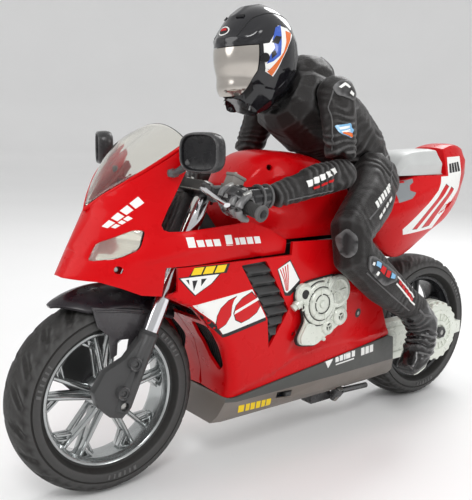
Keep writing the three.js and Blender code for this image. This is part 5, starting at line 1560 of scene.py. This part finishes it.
def bars(corners, widths, gap=0.25, slant=0.05, low=0.0, high=1.0):
    """Slanted bars filling an area from front to rear; gap is a share of each bar's width."""
    total, start, out = sum(abs(w) for w in widths), 0.0, []
    for width in widths:
        share = abs(width) / total
        if width > 0:
            a, b = start, start + share * (1 - gap)
            out.append([on_area(corners, a + slant, low), on_area(corners, b + slant, low),
                        on_area(corners, b - slant, high), on_area(corners, a - slant, high)])
        start += share
    return out


def grown(outline, amount):
    """The outline moved outward by about `amount`."""
    outline = np.array(outline, float)
    centre = outline.mean(0)
    away = outline - centre
    return centre + away * (1 + amount / np.linalg.norm(away, axis=1).mean())


def body_marks(name, side):
    skin_of, nose = PANEL_TREES[name], NOSE_TREE

    def mark(label, outlines, target, look_name, lift, **rest):
        decal(f"{label}_{name}", outlines, target, look_name, "bike", "body_red", side, lift=lift, **rest)

    # Nose: a row of heavy slanted bars above a shorter row.
    area = [(120.4, 135.9), (104.8, 146.9), (107.6, 153.6), (122.4, 138.2)]
    mark("nose_bars", bars(area, [1.1, 1, 1, 1.2], 0.22, 0.02, 0.46, 1.0), nose, "white", 0.1)
    mark("nose_small_bars", bars(area, [-0.6, 1, 0.8, 1, -2.4], 0.25, 0.02, 0.0, 0.34), nose, "white", 0.1)
    # Strip under the cockpit edge.
    strip = [(88.5, 127.6), (40.5, 125.6), (40.5, 131.2), (88.5, 132.6)]
    mark("strip_bars_high", bars(strip, [1.3, -4.2, 1.3, -4.6], 0.2, 0.012, 0.0, 1.0), nose, "white", 0.1)
    mark("strip_bars_low", bars(strip, [-1.3, 1.2, 1.1, 1.2, -2.0, 0.7, 1.1, 1.2, 1.2], 0.22, 0.012, 0.02,
                                0.68), nose, "white", 0.1)
    # Yellow blocks over a white arrow with a dark border.
    plate_area = [(85.4, 113.4), (64.8, 113.2), (63.0, 116.9), (83.4, 116.9)]
    mark("flash_border", [[(86.6, 112.9), (64.2, 112.6), (62.2, 117.35), (82.8, 117.35)]], skin_of,
         "black_print", 0.07)
    mark("flash_blocks", bars(plate_area, [1, 1, 1], 0.16, 0.0), skin_of, "yellow", 0.14)
    arrow = [(91.4, 112.4), (68.9, 112.4), (73.4, 108.1), (82.6, 103.2), (86.2, 106.8)]
    mark("arrow_border", [grown(arrow, 1.0)], skin_of, "black_print", 0.07)
    mark("arrow", [arrow], skin_of, "white", 0.14)
    cuts = [[(84.6, 110.6), (81.6, 110.6), (83.6, 105.4)], [(79.4, 111), (76.2, 111), (79.4, 107.4)],
            [(88.2, 111.4), (86.6, 111.4), (86.2, 108.8)]]
    mark("arrow_cuts", cuts, skin_of, "black_print", 0.2)
    # The large white field with two red curved shapes and a painted shadow along its lower edge.
    field = [(83.5, 97.7), (47.2, 101.9), (37.0, 85.2), (64.4, 79.8), (70.4, 87.4)]
    mark("field_shadow", [[(70.9, 87.2), (64.6, 79.9), (37.2, 85.4), (36.4, 83.2), (64.0, 77.8),
                           (84.4, 97.2)]], skin_of, "black_print", 0.14)
    mark("field", [field], skin_of, "white", 0.22)
    leaf = [(57.4, 99.2), (62.6, 97.6), (67.0, 94.2), (69.0, 90.4), (69.2, 86.4), (67.6, 83.2),
            (63.4, 85.6), (60.6, 89.6), (60.2, 94.6), (59.2, 97.4)]
    wave = [(58.6, 90.6), (57.4, 94.4), (53.6, 97.8), (47.6, 100.4), (44.6, 97.2), (41.6, 92.2),
            (43.8, 88.8), (48.4, 86.2), (53.4, 84.8), (57.2, 86.8)]
    mark("swoosh_borders", [grown(leaf, 0.45), grown(wave, 0.45)], skin_of, "black_print", 0.28)
    mark("swooshes", [leaf, wave], skin_of, "red_print", 0.34)
    mark("swoosh_slash", [[(58.0, 91.6), (43.4, 97.0), (42.6, 95.6), (58.6, 89.8)]], skin_of, "white", 0.4)
    # The small white field with a fan of red lines, over a painted shadow at its lower edge.
    mark("fan_shadow", [[(30.6, 110.8), (21.6, 115.3), (13.2, 102.8), (14.0, 99.6), (20.4, 94.8),
                         (24.1, 95.4)]], skin_of, "black_print", 0.07)
    mark("fan_field", [[(30.1, 110.8), (21.8, 114.5), (14.1, 103.0), (19.9, 98.4), (22.6, 96.8),
                        (24.2, 97.6)]], skin_of, "white", 0.12)
    fan = []
    for k in range(4):
        top = np.array((28.6 - 1.7 * k, 110.6 + 0.7 * k))
        middle = np.array((25.4 - 1.0 * k, 104.6))
        foot = np.array((23.4 - 0.45 * k, 98.0))
        fan.append([top + (0.35, 0), middle + (0.3, 0), foot + (0.15, 0), foot - (0.15, 0),
                    middle - (0.3, 0), top - (0.4, 0)])
    mark("fan_lines", fan, skin_of, "red_print", 0.18)
    # Tail.
    tail_field = [(-88.4, 122.2), (-90.4, 118.4), (-126.6, 119.8), (-145.6, 144.9), (-150.0, 161.0),
                  (-152.6, 168.6), (-137.0, 168.0), (-132.6, 155.6), (-124.8, 155.4), (-119.6, 146.4)]
    mark("tail_field", [tail_field], TAIL_TREE, "white", 0.14)
    stripes = [[(-99.5, 121.6), (-105.0, 121.4), (-132.0, 148.4), (-128.2, 150.2)],
               [(-111.5, 121.6), (-121.0, 122.4), (-138.6, 146.4), (-135.2, 148.0)]]
    mark("tail_border", [grown(stripe, 0.6) for stripe in stripes], TAIL_TREE, "black_print", 0.22)
    mark("tail_swoosh", stripes, TAIL_TREE, "red_print", 0.3)
    mark("tail_bars", bars([(-134.6, 157.4), (-148.4, 158.6), (-149.6, 165.0), (-137.4, 163.6)],
                           [1, 1, 1, 1], 0.22, 0.02), TAIL_TREE, "black_print", 0.2)
    # The deep screw hole behind the engine cover: its dark inside is painted shade, a black disc round the
    # screw head.
    hole = [(-38 + 2.3 * math.cos(a), 76 + 2.9 * math.sin(a)) for a in np.linspace(0, 2 * math.pi, 25)[:-1]]
    mark("deep_hole_shade", [hole], skin_of, "vent", 0.2)
    mark("deep_screw", [grown(hole, -1.5)], skin_of, "steel", 0.4)
    # The grey flank between the seat and the rider's leg: painted shade for the seat's side, laid on the
    # tail.
    flank = [(-80, 140), (-91, 142.4), (-95.6, 146), (-91.4, 147.4), (-93.4, 150.6), (-97.4, 152.4),
             (-98.2, 154.6), (-80, 152)]
    mark("seat_flank_shade", [flank], TAIL_TREE, "seat_grey", 0.12)
    # Belly: yellow blocks forward, white marks aft.
    belly = BELLY_TREE

    def low(label, outlines, look_name):
        decal(f"{label}_{name}", outlines, belly, look_name, "bike", "pan_grey", side, lift=0.22)

    low("belly_blocks", bars([(48.0, 30.6), (23.5, 29.6), (23.5, 34), (48.0, 35)],
                             [1.2, 0.8, 0.9, 0.9, 0.8, 1], 0.25, 0.01), "yellow")
    low("belly_arrow", [[(-13.6, 50.4), (-21.4, 50.8), (-17.6, 44.2)]], "white")
    low("belly_bars", bars([(-23, 46.8), (-41, 47.6), (-41, 51.6), (-23, 51)], [1, 1, 0.5, 1.4, 1], 0.25,
                           0.02), "white")
    low("belly_rule", [[(-24, 45.6), (-40, 46.4), (-40, 45.6), (-24, 44.8)]], "white")
    low("belly_bars_aft", bars([(-46, 46.6), (-58, 47.4), (-58, 52.4), (-46, 51.8)], [1, 1, 1], 0.22, 0.04),
        "white")


for side_name, side in SIDES:
    body_marks(side_name, side)


# ---------------------------------------------------------------- rider: soft-looking moulded leather
def remeshed(obj, size=0.95, passes=22):
    """One even skin over the object's union, smoothed."""
    mod = obj.modifiers.new("skin", "REMESH")
    mod.mode = "VOXEL"
    mod.voxel_size = size / 1000
    mod = obj.modifiers.new("smooth", "SMOOTH")
    mod.factor = 0.5
    mod.iterations = passes
    return baked(obj)


def vertices_of(obj):
    points = np.empty(len(obj.data.vertices) * 3)
    normals = np.empty(len(obj.data.vertices) * 3)
    obj.data.vertices.foreach_get("co", points)
    obj.data.vertices.foreach_get("normal", normals)
    return to_layout(points), normals.reshape(-1, 3)


def set_vertices(obj, points):
    obj.data.vertices.foreach_set("co", to_row(points).ravel())
    obj.data.update()


def kept_near(obj, limit, allowed):
    """Draws back every vertex that stands further than allowed(point) mm outside the surface of `limit`."""
    points, _ = vertices_of(obj)
    for i, point in enumerate(points):
        most = allowed(point)
        spot, normal, _, distance = limit.find_nearest(Vector(point))
        out = (Vector(point) - spot).dot(normal)
        if out > most:
            points[i] = np.array(spot + normal * most) if distance < out * 1.5 else point
    set_vertices(obj, points)


def folds(points, creases, depth=0.5):
    """Wrinkles: a swell everywhere, ridges across each crease (centre, along, reach, pitch, amount)."""
    height = np.zeros(len(points))
    for i, point in enumerate(points):
        height[i] = noise.noise(Vector(point * 0.09)) * 0.35 + noise.noise(Vector(point * 0.21)) * 0.2
    for centre, along, reach, pitch, amount in creases:
        away = points - centre
        along = np.array(along, float) / np.linalg.norm(along)
        travel = away @ along
        near = np.exp(-((np.linalg.norm(away, axis=1) / reach) ** 2))
        bend = np.array([noise.noise(Vector(p * 0.07)) for p in points])
        ridge = np.cos(2 * math.pi * (travel / pitch + bend * 1.6))
        height += amount * near * np.sign(ridge) * np.abs(ridge) ** 0.7
    return height * depth


def leather(name, node, creases, most, passes=22, grow=0.35, depth=0.5, extra=None):
    """A rider part: the CAD form with rounded muscles and folds, held to the CAD surface."""
    obj = cad_copy(name, node)
    limit = tree(obj)
    remeshed(obj, 0.95, passes)
    points, normals = vertices_of(obj)
    height = grow + folds(points, creases, depth)
    if extra:
        height += extra(points)
    set_vertices(obj, points + normals * height[:, None])
    kept_near(obj, limit, most if callable(most) else lambda point: most)
    shade(obj.data, 60)
    return obj


def at_side(point, side):
    return np.array(point, float) * (1, side, 1)


def laid(target, line, outward):
    """The line's points moved along `outward` onto the target's skin."""
    out = []
    direction = Vector(outward).normalized()
    for point in divided(line, 2.0, closed=False):
        hit, *_ = target.ray_cast(Vector(point) + direction * 60, -direction)
        if hit is not None:
            out.append(np.array(hit))
    return out


def seam(name, target, lines, outward, radius, looks, body, slot):
    parts = []
    for line in lines:
        path = laid(target, line, outward)
        if len(path) > 2:
            parts.append(sweep(path, circle(radius, 8)))
    return piece(name, *several(*parts), looks, body, slot, smooth=60)


def waist(points):
    """The torso's belt and the seams of its hump."""
    along = (points[:, 0] + 70) * 0.35 + (points[:, 2] - 163) * 0.94
    belt = 0.5 * np.exp(-((along + 1) / 1.1) ** 2) - 0.35 * np.exp(-((along - 1.6) / 0.8) ** 2)
    spine = -0.7 * np.exp(-(points[:, 1] / 0.7) ** 2) * (points[:, 0] < -20)
    return belt + spine


torso = leather("torso", "rider_torso", [
    ((-55, 22, 165), (0.5, 0, 0.85), 20, 6.5, 0.9), ((-55, -22, 165), (0.5, 0, 0.85), 20, 6.5, 0.9),
    ((-20, 28, 185), (0.4, 0, 0.9), 16, 6, 0.8), ((-20, -28, 185), (0.4, 0, 0.9), 16, 6, 0.8),
    ((-10, 0, 190), (0.8, 0, 0.5), 22, 8, 0.6), ((-45, 0, 205), (0.6, 0, 0.8), 22, 12, 0.5),
], lambda point: -0.1 if math.dist(point, (9, 0, 213)) < 46 else 0.5, passes=16, grow=0.0, depth=0.85,
    extra=waist)
dress(torso, "suit", "bike", "rider_torso")
TORSO_TREE = tree(torso)

ARM_PATCH = [(-1.7, 187.2), (-10, 188.7), (-11.9, 185.6), (-9.7, 180.5), (-3.1, 183.1)]
SHOULDER_PAD = [(-3.5, 208.4), (-9.2, 211), (-18.5, 202.4), (-15, 197.5), (-5, 201.5)]
SHIN_PAD = [(-13, 117.8), (-18, 116.8), (-38.4, 104.7), (-37.6, 101.2), (-27.5, 99.2), (-13.4, 110.5)]
KNEE_CUP = [(-4.4, 133), (-9.8, 128), (-9.6, 120.4), (-5.4, 115.8), (-1.8, 119), (-0.6, 128)]


def sided(creases, side):
    """Creases written for the left side, on the side asked for."""
    return [(at_side(centre, side), at_side(along, side), *rest) for centre, along, *rest in creases]


def repeated(outline, count, across, up):
    """The outline `count` times, each a step further."""
    return [[(x + across * k, z + up * k) for x, z in outline] for k in range(count)]


def suit_tools(name, side, skin_of, body):
    """Functions that lay marks and seams on one part of the suit."""
    def mark(label, outlines, look_name, lift, **rest):
        decal(f"{label}_{name}", outlines, skin_of, look_name, body, "suit", side, lift=lift, **rest)

    def stitch(label, lines, outward, radius, look_name="suit_dark"):
        lines = [[at_side(p, side) for p in line] for line in lines]
        seam(f"{label}_{name}", skin_of, lines, at_side(outward, side), radius, look_name, body, "suit")

    return mark, stitch


def arm(name, side):
    body, fore_body = "upper_arm_" + name[0], "forearm_" + name[0]
    upper = leather("sleeve_" + name, "upper_arm_" + name, sided([
        ((-6, 41, 172), (0.1, 0, 1), 13, 4.6, 1.0), ((-8, 42, 190), (0.35, 0, 0.9), 9, 5, 0.6),
        ((-12, 33, 199), (0.1, 0.3, 1), 9, 4.6, 0.5),
    ], side), 0.1, passes=14, grow=-0.35, depth=0.95)
    dress(upper, "suit", body, "upper_arm_" + name)
    mark, stitch = suit_tools(name, side, tree(upper), body)
    fore = leather("sleeve_low_" + name, "forearm_" + name, sided([
        ((6, 43, 160), (1, 0, -0.2), 13, 4.6, 1.0), ((24, 44, 156), (1, 0, -0.5), 10, 5.5, 0.6),
        ((38, 44, 152), (1, 0, -0.2), 8, 3.6, 0.8),
    ], side), 0.15, passes=14, grow=-0.35, depth=0.95)
    dress(fore, "suit", fore_body, "forearm_" + name)
    fore_mark, fore_stitch = suit_tools(name, side, tree(fore), fore_body)
    mark("arm_patch", [rounded(ARM_PATCH, 1)], "cyan", 0.18)
    mark("arm_patch_marks", [[(-3.4, 186.2), (-9.4, 187.4), (-9.8, 186.2), (-3.6, 185)],
                             [(-4, 184.2), (-8.8, 185.4), (-9, 184.4), (-4.4, 183.3)]], "white", 0.3)
    mark("arm_flash", [[(-10.6, 183.5), (-9.8, 181), (-4.2, 183), (-4.6, 184)]], "orange", 0.3)
    at_shoulder = {"n": (0, 0.85, 0.5), "origin": (0, 37, 0)}
    mark("shoulder_pad", [rounded(SHOULDER_PAD, 2.4)], "suit_dark", 0.9, **at_shoulder)
    mark("shoulder_mark", [
        [(-6, 206.4), (-9.4, 208.2), (-12.2, 205.4), (-11, 204.6), (-9, 206.4), (-6.8, 205.2)],
        [(-12.4, 203.6), (-14.8, 202), (-13.8, 200.4), (-11.2, 202.2)],
    ], "white", 1.05, **at_shoulder)
    # Plain blocks and dashes along the forearm, laid finely so that they follow the folds.
    blocks = []
    for k in range(5):
        x = 5.2 + 4.4 * k
        high, low = -0.32 * (x - 5), -0.34 * (x - 5)
        blocks.append([(x, 165.3 + high), (x + 3.1, 164.4 + high), (x + 2.7, 161.8 + low),
                       (x - 0.4, 162.7 + low)])
    fore_mark("forearm_bars", blocks, "white", 0.32, spacing=0.6)
    dashes = repeated([(8, 159.6), (11.6, 158.6), (11.5, 157.4), (8, 158.4)], 3, 5, -1.5)
    fore_mark("forearm_dashes", dashes, "red_print", 0.32, spacing=0.6)
    stitch("sleeve_seam", [[(-5, 33, 206), (-1.6, 36, 197), (-1.8, 39.5, 190.9), (0.2, 42, 174)]],
           (0.25, 1, 0), 0.42)
    fore_stitch("forearm_seam", [[(6, 47, 154), (22, 51, 151), (38, 50, 149)]], (0, 1, -0.3), 0.42)


def leg(name, side):
    obj = leather("trousers_" + name, "leg_" + name, sided([
        ((-50, 32, 152), (1, 0.2, -0.4), 17, 8.5, 0.7), ((-20, 44, 128), (1, 0, -0.6), 13, 6.5, 0.6),
        ((-22, 42, 116), (0.6, 0, 1), 12, 5, 0.9), ((-55, 48, 90), (0.8, 0, 0.5), 11, 5, 0.7),
        ((-73, 46, 56), (0.2, 0, 1), 12, 4.8, 1.1), ((-80, 46, 66), (0, 0, 1), 9, 4.4, 0.7),
    ], side), 0.45, passes=16, grow=-0.1, depth=0.85)
    # The cuff line between the trousers and the boot, and the boot's thin sole line.
    bm = bmesh.new()
    bm.from_mesh(obj.data)
    cuff_at, cuff_normal = Vector(to_row((-68, 46, 79))[0]), Vector((0.5, 0, 0.87)).normalized()
    sole_at, sole_normal = Vector(to_row((-78, 46, 41.4))[0]), Vector((-0.05, 0, 1)).normalized()
    for at, normal in ((cuff_at, cuff_normal), (sole_at, sole_normal)):
        bmesh.ops.bisect_plane(bm, geom=bm.verts[:] + bm.edges[:] + bm.faces[:], plane_co=at, plane_no=normal,
                               dist=1e-6)
    bm.to_mesh(obj.data)
    bm.free()
    shade(obj.data, 60)
    for look_name in ("suit", "boot"):
        obj.data.materials.append(LOOKS[look_name])
    for face in obj.data.polygons:
        face.material_index = int((face.center - cuff_at).dot(cuff_normal) < 0)
    dress(obj, ["suit", "boot"], "bike", "leg_" + name)
    mark, stitch = suit_tools(name, side, tree(obj), "bike")
    mark("knee_slider", [rounded(KNEE_CUP, 2)], "suit_dark", 1.3, n=(0.35, 0.9, 0), origin=(0, 50, 0))
    mark("shin_pad", [rounded(SHIN_PAD, 2.5)], "suit_dark", 1.1)
    mark("shin_blocks", [[(-19, 114.5), (-23, 112.6), (-22.4, 110), (-18.4, 112)],
                         [(-32.5, 106), (-36, 104.2), (-35, 102.4), (-31.4, 103.4)]], "cyan", 1.3)
    mark("shin_bars", [[(-24, 111.4), (-27.4, 109.4), (-25.6, 106), (-22.2, 108.6)],
                       [(-28.4, 108.4), (-31.4, 106.8), (-30, 103.6), (-27, 105)]], "red_print", 1.3)
    mark("shin_dots", [[(-16, 114.4), (-17.6, 113.8), (-17, 112), (-15.4, 112.6)],
                       [(-20.4, 108.6), (-22, 107.6), (-20.8, 106), (-19.4, 107)]], "white", 1.3)
    for k, (ax, az, bx, bz) in enumerate(((-40.5, 102.6, -58.5, 87.8), (-38, 99.2, -58.6, 83.4))):
        length = math.hypot(bx - ax, bz - az)
        px, pz = -(bz - az) / length / 2, (bx - ax) / length / 2
        stripe = [(ax + px, az + pz), (bx + px, bz + pz), (bx - px, bz - pz), (ax - px, az - pz)]
        mark(f"calf_stripe_{k}", [stripe], "white", 0.32)
    calf = repeated([(-41.5, 100.8), (-43.8, 99.0), (-42.6, 97.2), (-40.2, 99.2)], 5, -3.4, -2.95)
    mark("calf_blocks", calf, "red_print", 0.32)
    thigh = repeated([(-26, 145.0), (-28.2, 146.4), (-28.6, 142.6), (-26.6, 141.2)], 6, -3.3, 2.3)
    mark("thigh_bars", thigh, "white", 0.32, n=(0.1, 0.9, 0.4), origin=(0, 50, 0))
    dashes = repeated([(-27, 137.6), (-30, 139.8), (-30.4, 138.2), (-27.6, 136)], 4, -4.4, 3.1)
    mark("thigh_marks", dashes, "white", 0.32, n=(0.1, 0.9, 0.2), origin=(0, 53, 0))
    out = (0, 1, 0)
    stitch("leg_seam", [[(-62, 32, 168), (-40, 48, 148), (-16, 58, 137)],
                        [(-14, 58, 108), (-36, 58, 92), (-56, 56, 80)]], out, 0.45)
    stitch("boot_sole", [[(-86, 55, 42.4), (-78, 56, 41.6), (-66, 56, 38)]], out, 0.5, "engine")
    stitch("boot_straps", [[(-64, 55, 79.5), (-69, 55, 75.5), (-76.5, 54, 73.6)],
                           [(-72, 55, 62), (-79, 56, 60), (-88, 54, 60)],
                           [(-70, 55, 51), (-78, 56, 48.6), (-87, 54, 48.6)]], out, 0.7)


for side_name, side in SIDES:
    arm(side_name, side)
    leg(side_name, side)
spine_line = [(-30, 6, 232), (-38, 10, 214), (-52, 13, 200), (-66, 12, 186)]
seam("back_seams", TORSO_TREE, [[at_side(p, side) for p in spine_line] for _, side in SIDES],
     (-0.75, 0, 0.6), 0.5, "suit_dark", "bike", "suit")
for belt_name, side in (("belt_line", 1), ("belt_line_right", -1)):
    belt_path = [at_side(p, side) for p in ((-39.9, 30, 161.9), (-56, 30, 165.5), (-73.6, 30, 170.2))]
    seam(belt_name, TORSO_TREE, [belt_path], (0, side, 0), 0.45, "suit_dark", "bike", "suit")


# ---------------------------------------------------------------- gloves
def glove(name, side):
    obj = cad_copy("glove_" + name, "hand_" + name)
    limit = tree(obj)
    remeshed(obj, 0.7, 8)
    points, normals = vertices_of(obj)
    set_vertices(obj, points + normals * 0.25)
    kept_near(obj, limit, lambda point: 0.15)
    shade(obj.data, 60)
    dress(obj, "glove", "steering", "hand_" + name)
    sizes = list(np.interp(range(13), [0, 2, 6, 10, 12], [1.2, 1.9, 2.05, 1.95, 1.5]))
    fingers = []
    for k in range(4):
        centre = grip_at(0.36 + 0.125 * k)
        arc = []
        for degrees in np.linspace(-75, 88, 13):
            a = math.radians(degrees)
            reach = 6.6 + 0.7 * math.sin(math.radians(3 * degrees + 40 * k))
            arc.append(centre + np.array((reach * math.cos(a), 0, reach * math.sin(a))) * (1, 1, 0.98))
        fingers.append(sweep(arc, circle(1, 12), scale=sizes))
    finger_points, finger_faces = several(*fingers)
    piece("glove_fingers_" + name, np.array(finger_points) * (1, side, 1), finger_faces, "glove", "steering",
          "glove_black", smooth=50)
    knuckles = []
    for k in range(4):
        centre = grip_at(0.36 + 0.125 * k) + np.array((2.2, 0, 7.6))
        knuckles.append(rod(centre - (2.4, 0, -0.2), centre + (2.2, 0, -1.4), 1.35, 1.1, 12))
    knuckle_points, knuckle_faces = several(*knuckles)
    piece("glove_knuckles_" + name, np.array(knuckle_points) * (1, side, 1), knuckle_faces, "steel",
          "steering", "glove_black", smooth=50, bevel=0.35)
    cuff = []
    for t in (0.0, 1.0):
        centre = np.array((47.5, 44, 151.4)) + np.array((5.5, 0, -0.3)) * t
        cuff.append(sweep([centre - (0.7, 0, 0), centre + (0.7, 0, 0)], circle(6.35 + 0.3 * t, 24)))
    cuff_points, cuff_faces = several(*cuff)
    piece("glove_cuff_" + name, np.array(cuff_points) * (1, side, 1), cuff_faces, "suit_dark", "steering",
          "glove_black", smooth=50, bevel=0.2)


for side_name, side in SIDES:
    glove(side_name, side)


# ---------------------------------------------------------------- helmet
def ellipsoid(name, centre, radii, segments=48):
    profile = [(math.cos(a), math.sin(a)) for a in np.linspace(-math.pi / 2, math.pi / 2, segments // 2 + 1)]
    profile[0], profile[-1] = (0.0002, -1), (0.0002, 1)
    points, faces = lathe(profile, (0, 0, 0), segments, "z")
    return raw(name, np.array(points) * radii + centre, faces)


# The chin bar: ellipsoids of (centre, radii) joined to the shell.
CHIN = [((18, 0, 215), (19.0, 20.4 * 0.98, 9)), ((25, 0, 203), (15.4, 16.6 * 0.98, 9)),
        ((28.4, 0, 199.4), (11.2, 12.2 * 0.98, 7.4)), ((26.6, 0, 207.5), (16.6, 17.6, 10))]
VISOR_OUTLINE = [(56, 226.5), (32.5, 229), (32.5, 215), (38, 201.5), (56, 198)]
HELMET_LIMIT = tree(frame["nodes"]["helmet"])


def helmet():
    form = ellipsoid("helmet_shell", (20, 0, 224), (25.0, 21.4, 27.6))
    for part in [ellipsoid(f"chin_{k}", centre, radii, 32) for k, (centre, radii) in enumerate(CHIN)]:
        boolean(form, part, "UNION")
    remeshed(form, 0.75, 45)
    points, normals = vertices_of(form)
    visor, hollow = form.copy(), form.copy()
    for shell, lift in ((visor, 0.15), (hollow, -1.1)):
        shell.data = form.data.copy()
        shell.name = "visor_shell" if shell == visor else "visor_inside"
        scene.collection.objects.link(shell)
        set_vertices(shell, points + normals * (lift + 0.35))
        settle = shell.modifiers.new("smooth", "SMOOTH")
        settle.factor, settle.iterations = 0.5, 70
        baked(shell)
    points = points + normals * 0.45
    # A brow ledge over the visor, a raised crown vent, a rear lip and a slight chin bar crease.
    x, y, z = points.T
    brow = 0.9 * np.exp(-((z - 231.5 - 0.03 * (x - 44) ** 2 * (x < 44)) / 1.5) ** 2) * step(x, 26, 34)
    crown = 0.8 * np.exp(-(y / 3.4) ** 4) * step(z, 240, 246)
    lip = 0.8 * np.exp(-((z - 213 + 0.35 * (x + 3)) / 2.2) ** 2) * step(-x, -4, 4)
    flare = 0.7 * step(-z, -199.5, -195) * step(x, 12, 20)
    points = points + normals * (brow + crown + lip + flare)[:, None]
    set_vertices(form, points)
    kept_near(form, HELMET_LIMIT, lambda point: 0.1 if point[2] < 216 or point[0] < 8 else 1.1)
    outer = tree(form)
    prism = raw("visor_space", *plate(VISOR_OUTLINE, -40, 40))
    core = form.copy()
    core.data = form.data.copy()
    scene.collection.objects.link(core)
    points, normals = vertices_of(core)
    set_vertices(core, points - normals * 1.9)
    recess = prism.copy()
    recess.data = prism.data.copy()
    scene.collection.objects.link(recess)
    boolean(recess, core, keep_tool=True)
    # The visor: the slice of a thin shell of the plain form inside the opening.
    boolean(visor, hollow)
    window = raw("window", *plate([(56, 226.1), (33, 228.4), (33, 215.2), (38.6, 202.4), (56, 198.6)], -40,
                                  40))
    boolean(visor, window, "INTERSECT")
    boolean(form, recess)
    chin = [(60, 200.9), (38.2, 200.9), (35.5, 198.2), (28, 189.5), (28, 180), (60, 180)]
    boolean(form, raw("chin_cut", *plate(chin, -30, 30)))
    bore = raw("neck_bore", *rod((9, 0, 180), (9, 0, 219), 5.6, sides=32))
    boolean(form, bore)
    bpy.data.objects.remove(prism)
    bpy.data.objects.remove(core)
    shade(form.data, 45)
    dress(form, "helmet", "head", "helmet")
    shade(visor.data, 45)
    dress(visor, "visor", "head", "visor")
    return outer


def helmet_marks(outer):
    for name, side in SIDES:
        def mark(label, outlines, look_name, lift):
            decal(f"helmet_{label}_{name}", outlines, outer, look_name, "head", "helmet_black", side,
                  lift=lift)

        mark("white", [[(27.6, 229.6), (24.2, 234.2), (20.2, 239.4), (13.2, 238.4), (9.6, 235.4),
                        (14.6, 229.4), (19.6, 221.6), (23.8, 212.6), (28.8, 215), (30.6, 222.4),
                        (30.8, 229)]], "white", 0.1)
        mark("blue", [[(22.4, 238), (18.4, 239.8), (19.8, 231), (20.8, 223.9), (25.2, 220.4), (28.8, 218.9),
                       (27.2, 223.6), (24.4, 227.4), (25.6, 231.6)]], "blue", 0.18)
        mark("orange", [[(10.8, 236.3), (12.8, 232.4), (14.8, 229.7), (19.8, 222), (24.7, 212.9),
                         (27.8, 215), (22.8, 220.6), (18.8, 225.4), (16.4, 230.8), (15.6, 236.9)]],
             "orange", 0.2)
        mark("black", [[(19.4, 233.4), (22.4, 229.2), (26.2, 230), (23.2, 233.6)],
                       [(23.4, 224), (26.4, 221.4), (26.6, 224.6), (24.6, 226.4)]], "black_print", 0.24)
        mark("chevron", [[(31.6, 205.4), (33.8, 210.2), (35.6, 205), (34.2, 200.6)]], "helmet_trim", 0.35)
        mark("pivot", [[(30 + 2.4 * math.cos(a), 222 + 2.4 * math.sin(a))
                        for a in np.linspace(0, 2 * math.pi, 21)[:-1]]], "helmet_trim", 0.6)
        seams = [[at_side(p, side) for p in ((41.5, 14, 236.5), (38.6, 16, 240.9), (33.2, 16, 246.1),
                                             (19.5, 15, 248.4), (8, 14, 246))]]
        seam("helmet_line_" + name, outer, seams, (0, side, 0.9), 0.32, "helmet_trim", "head", "helmet_black")
    # A round badge blank and a vent above the visor.
    for label, across, up, look_name, lift in (("rim", 4.4, 2.7, "white", 0.15),
                                               ("field", 3.6, 2.0, "helmet_trim", 0.27)):
        oval = [(across * math.cos(a), 236.0 + up * math.sin(a))
                for a in np.linspace(0, 2 * math.pi, 29)[:-1]]
        decal("helmet_badge_" + label, [oval], outer, look_name, "head", "helmet_black", origin=(42, 0, 0),
              u=(0, 1, 0), n=(1, 0, 0.25), lift=lift)
    decal("helmet_badge_bar", [[(-2.6, 236.1), (2.6, 236.1), (1.8, 237.4), (-1.8, 237.4)]], outer,
          "red_print", "head", "helmet_black", origin=(42, 0, 0), u=(0, 1, 0), n=(1, 0, 0.25), lift=0.38)
    decal("helmet_vents", [[(-8.5, 244), (-4.5, 243), (-4.5, 244.8), (-8, 246)],
                           [(4.5, 243), (8.5, 244), (8, 246), (4.5, 244.8)]], outer, "helmet_trim", "head",
          "helmet_black", origin=(38, 0, 0), u=(0, 1, 0), n=(1, 0, 0.5), lift=0.7)


helmet_marks(helmet())

# ---------------------------------------------------------------- the remaining CAD nodes, with rounded edges
SLOT_OF = {part["node"]: part["material_slot"] for part in frame["record"]["subparts"]}
SLOT_LOOK = {
    "body_red": "red", "trim_black": "satin", "pan_grey": "pan", "vent_black": "vent",
    "engine_white": "engine", "seat_silver": "seat", "tyre_rubber": "rubber", "rim_silver": "silver",
    "rim_black": "rim_black", "fork_black": "black", "tube_chrome": "chrome", "steel": "steel",
    "clear": "clear", "lamp_silver": "lamp", "suit": "suit", "glove_black": "glove",
    "helmet_black": "helmet", "visor_silver": "visor", "nylon": "nylon", "brass": "brass",
    "board_green": "board", "cell_blue": "cell",
}
stood_for = {node for obj in MADE for node in obj.get("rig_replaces", [])}
for node_name in sorted(set(frame["nodes"]) - stood_for):
    refined(node_name, SLOT_LOOK[SLOT_OF[node_name]])
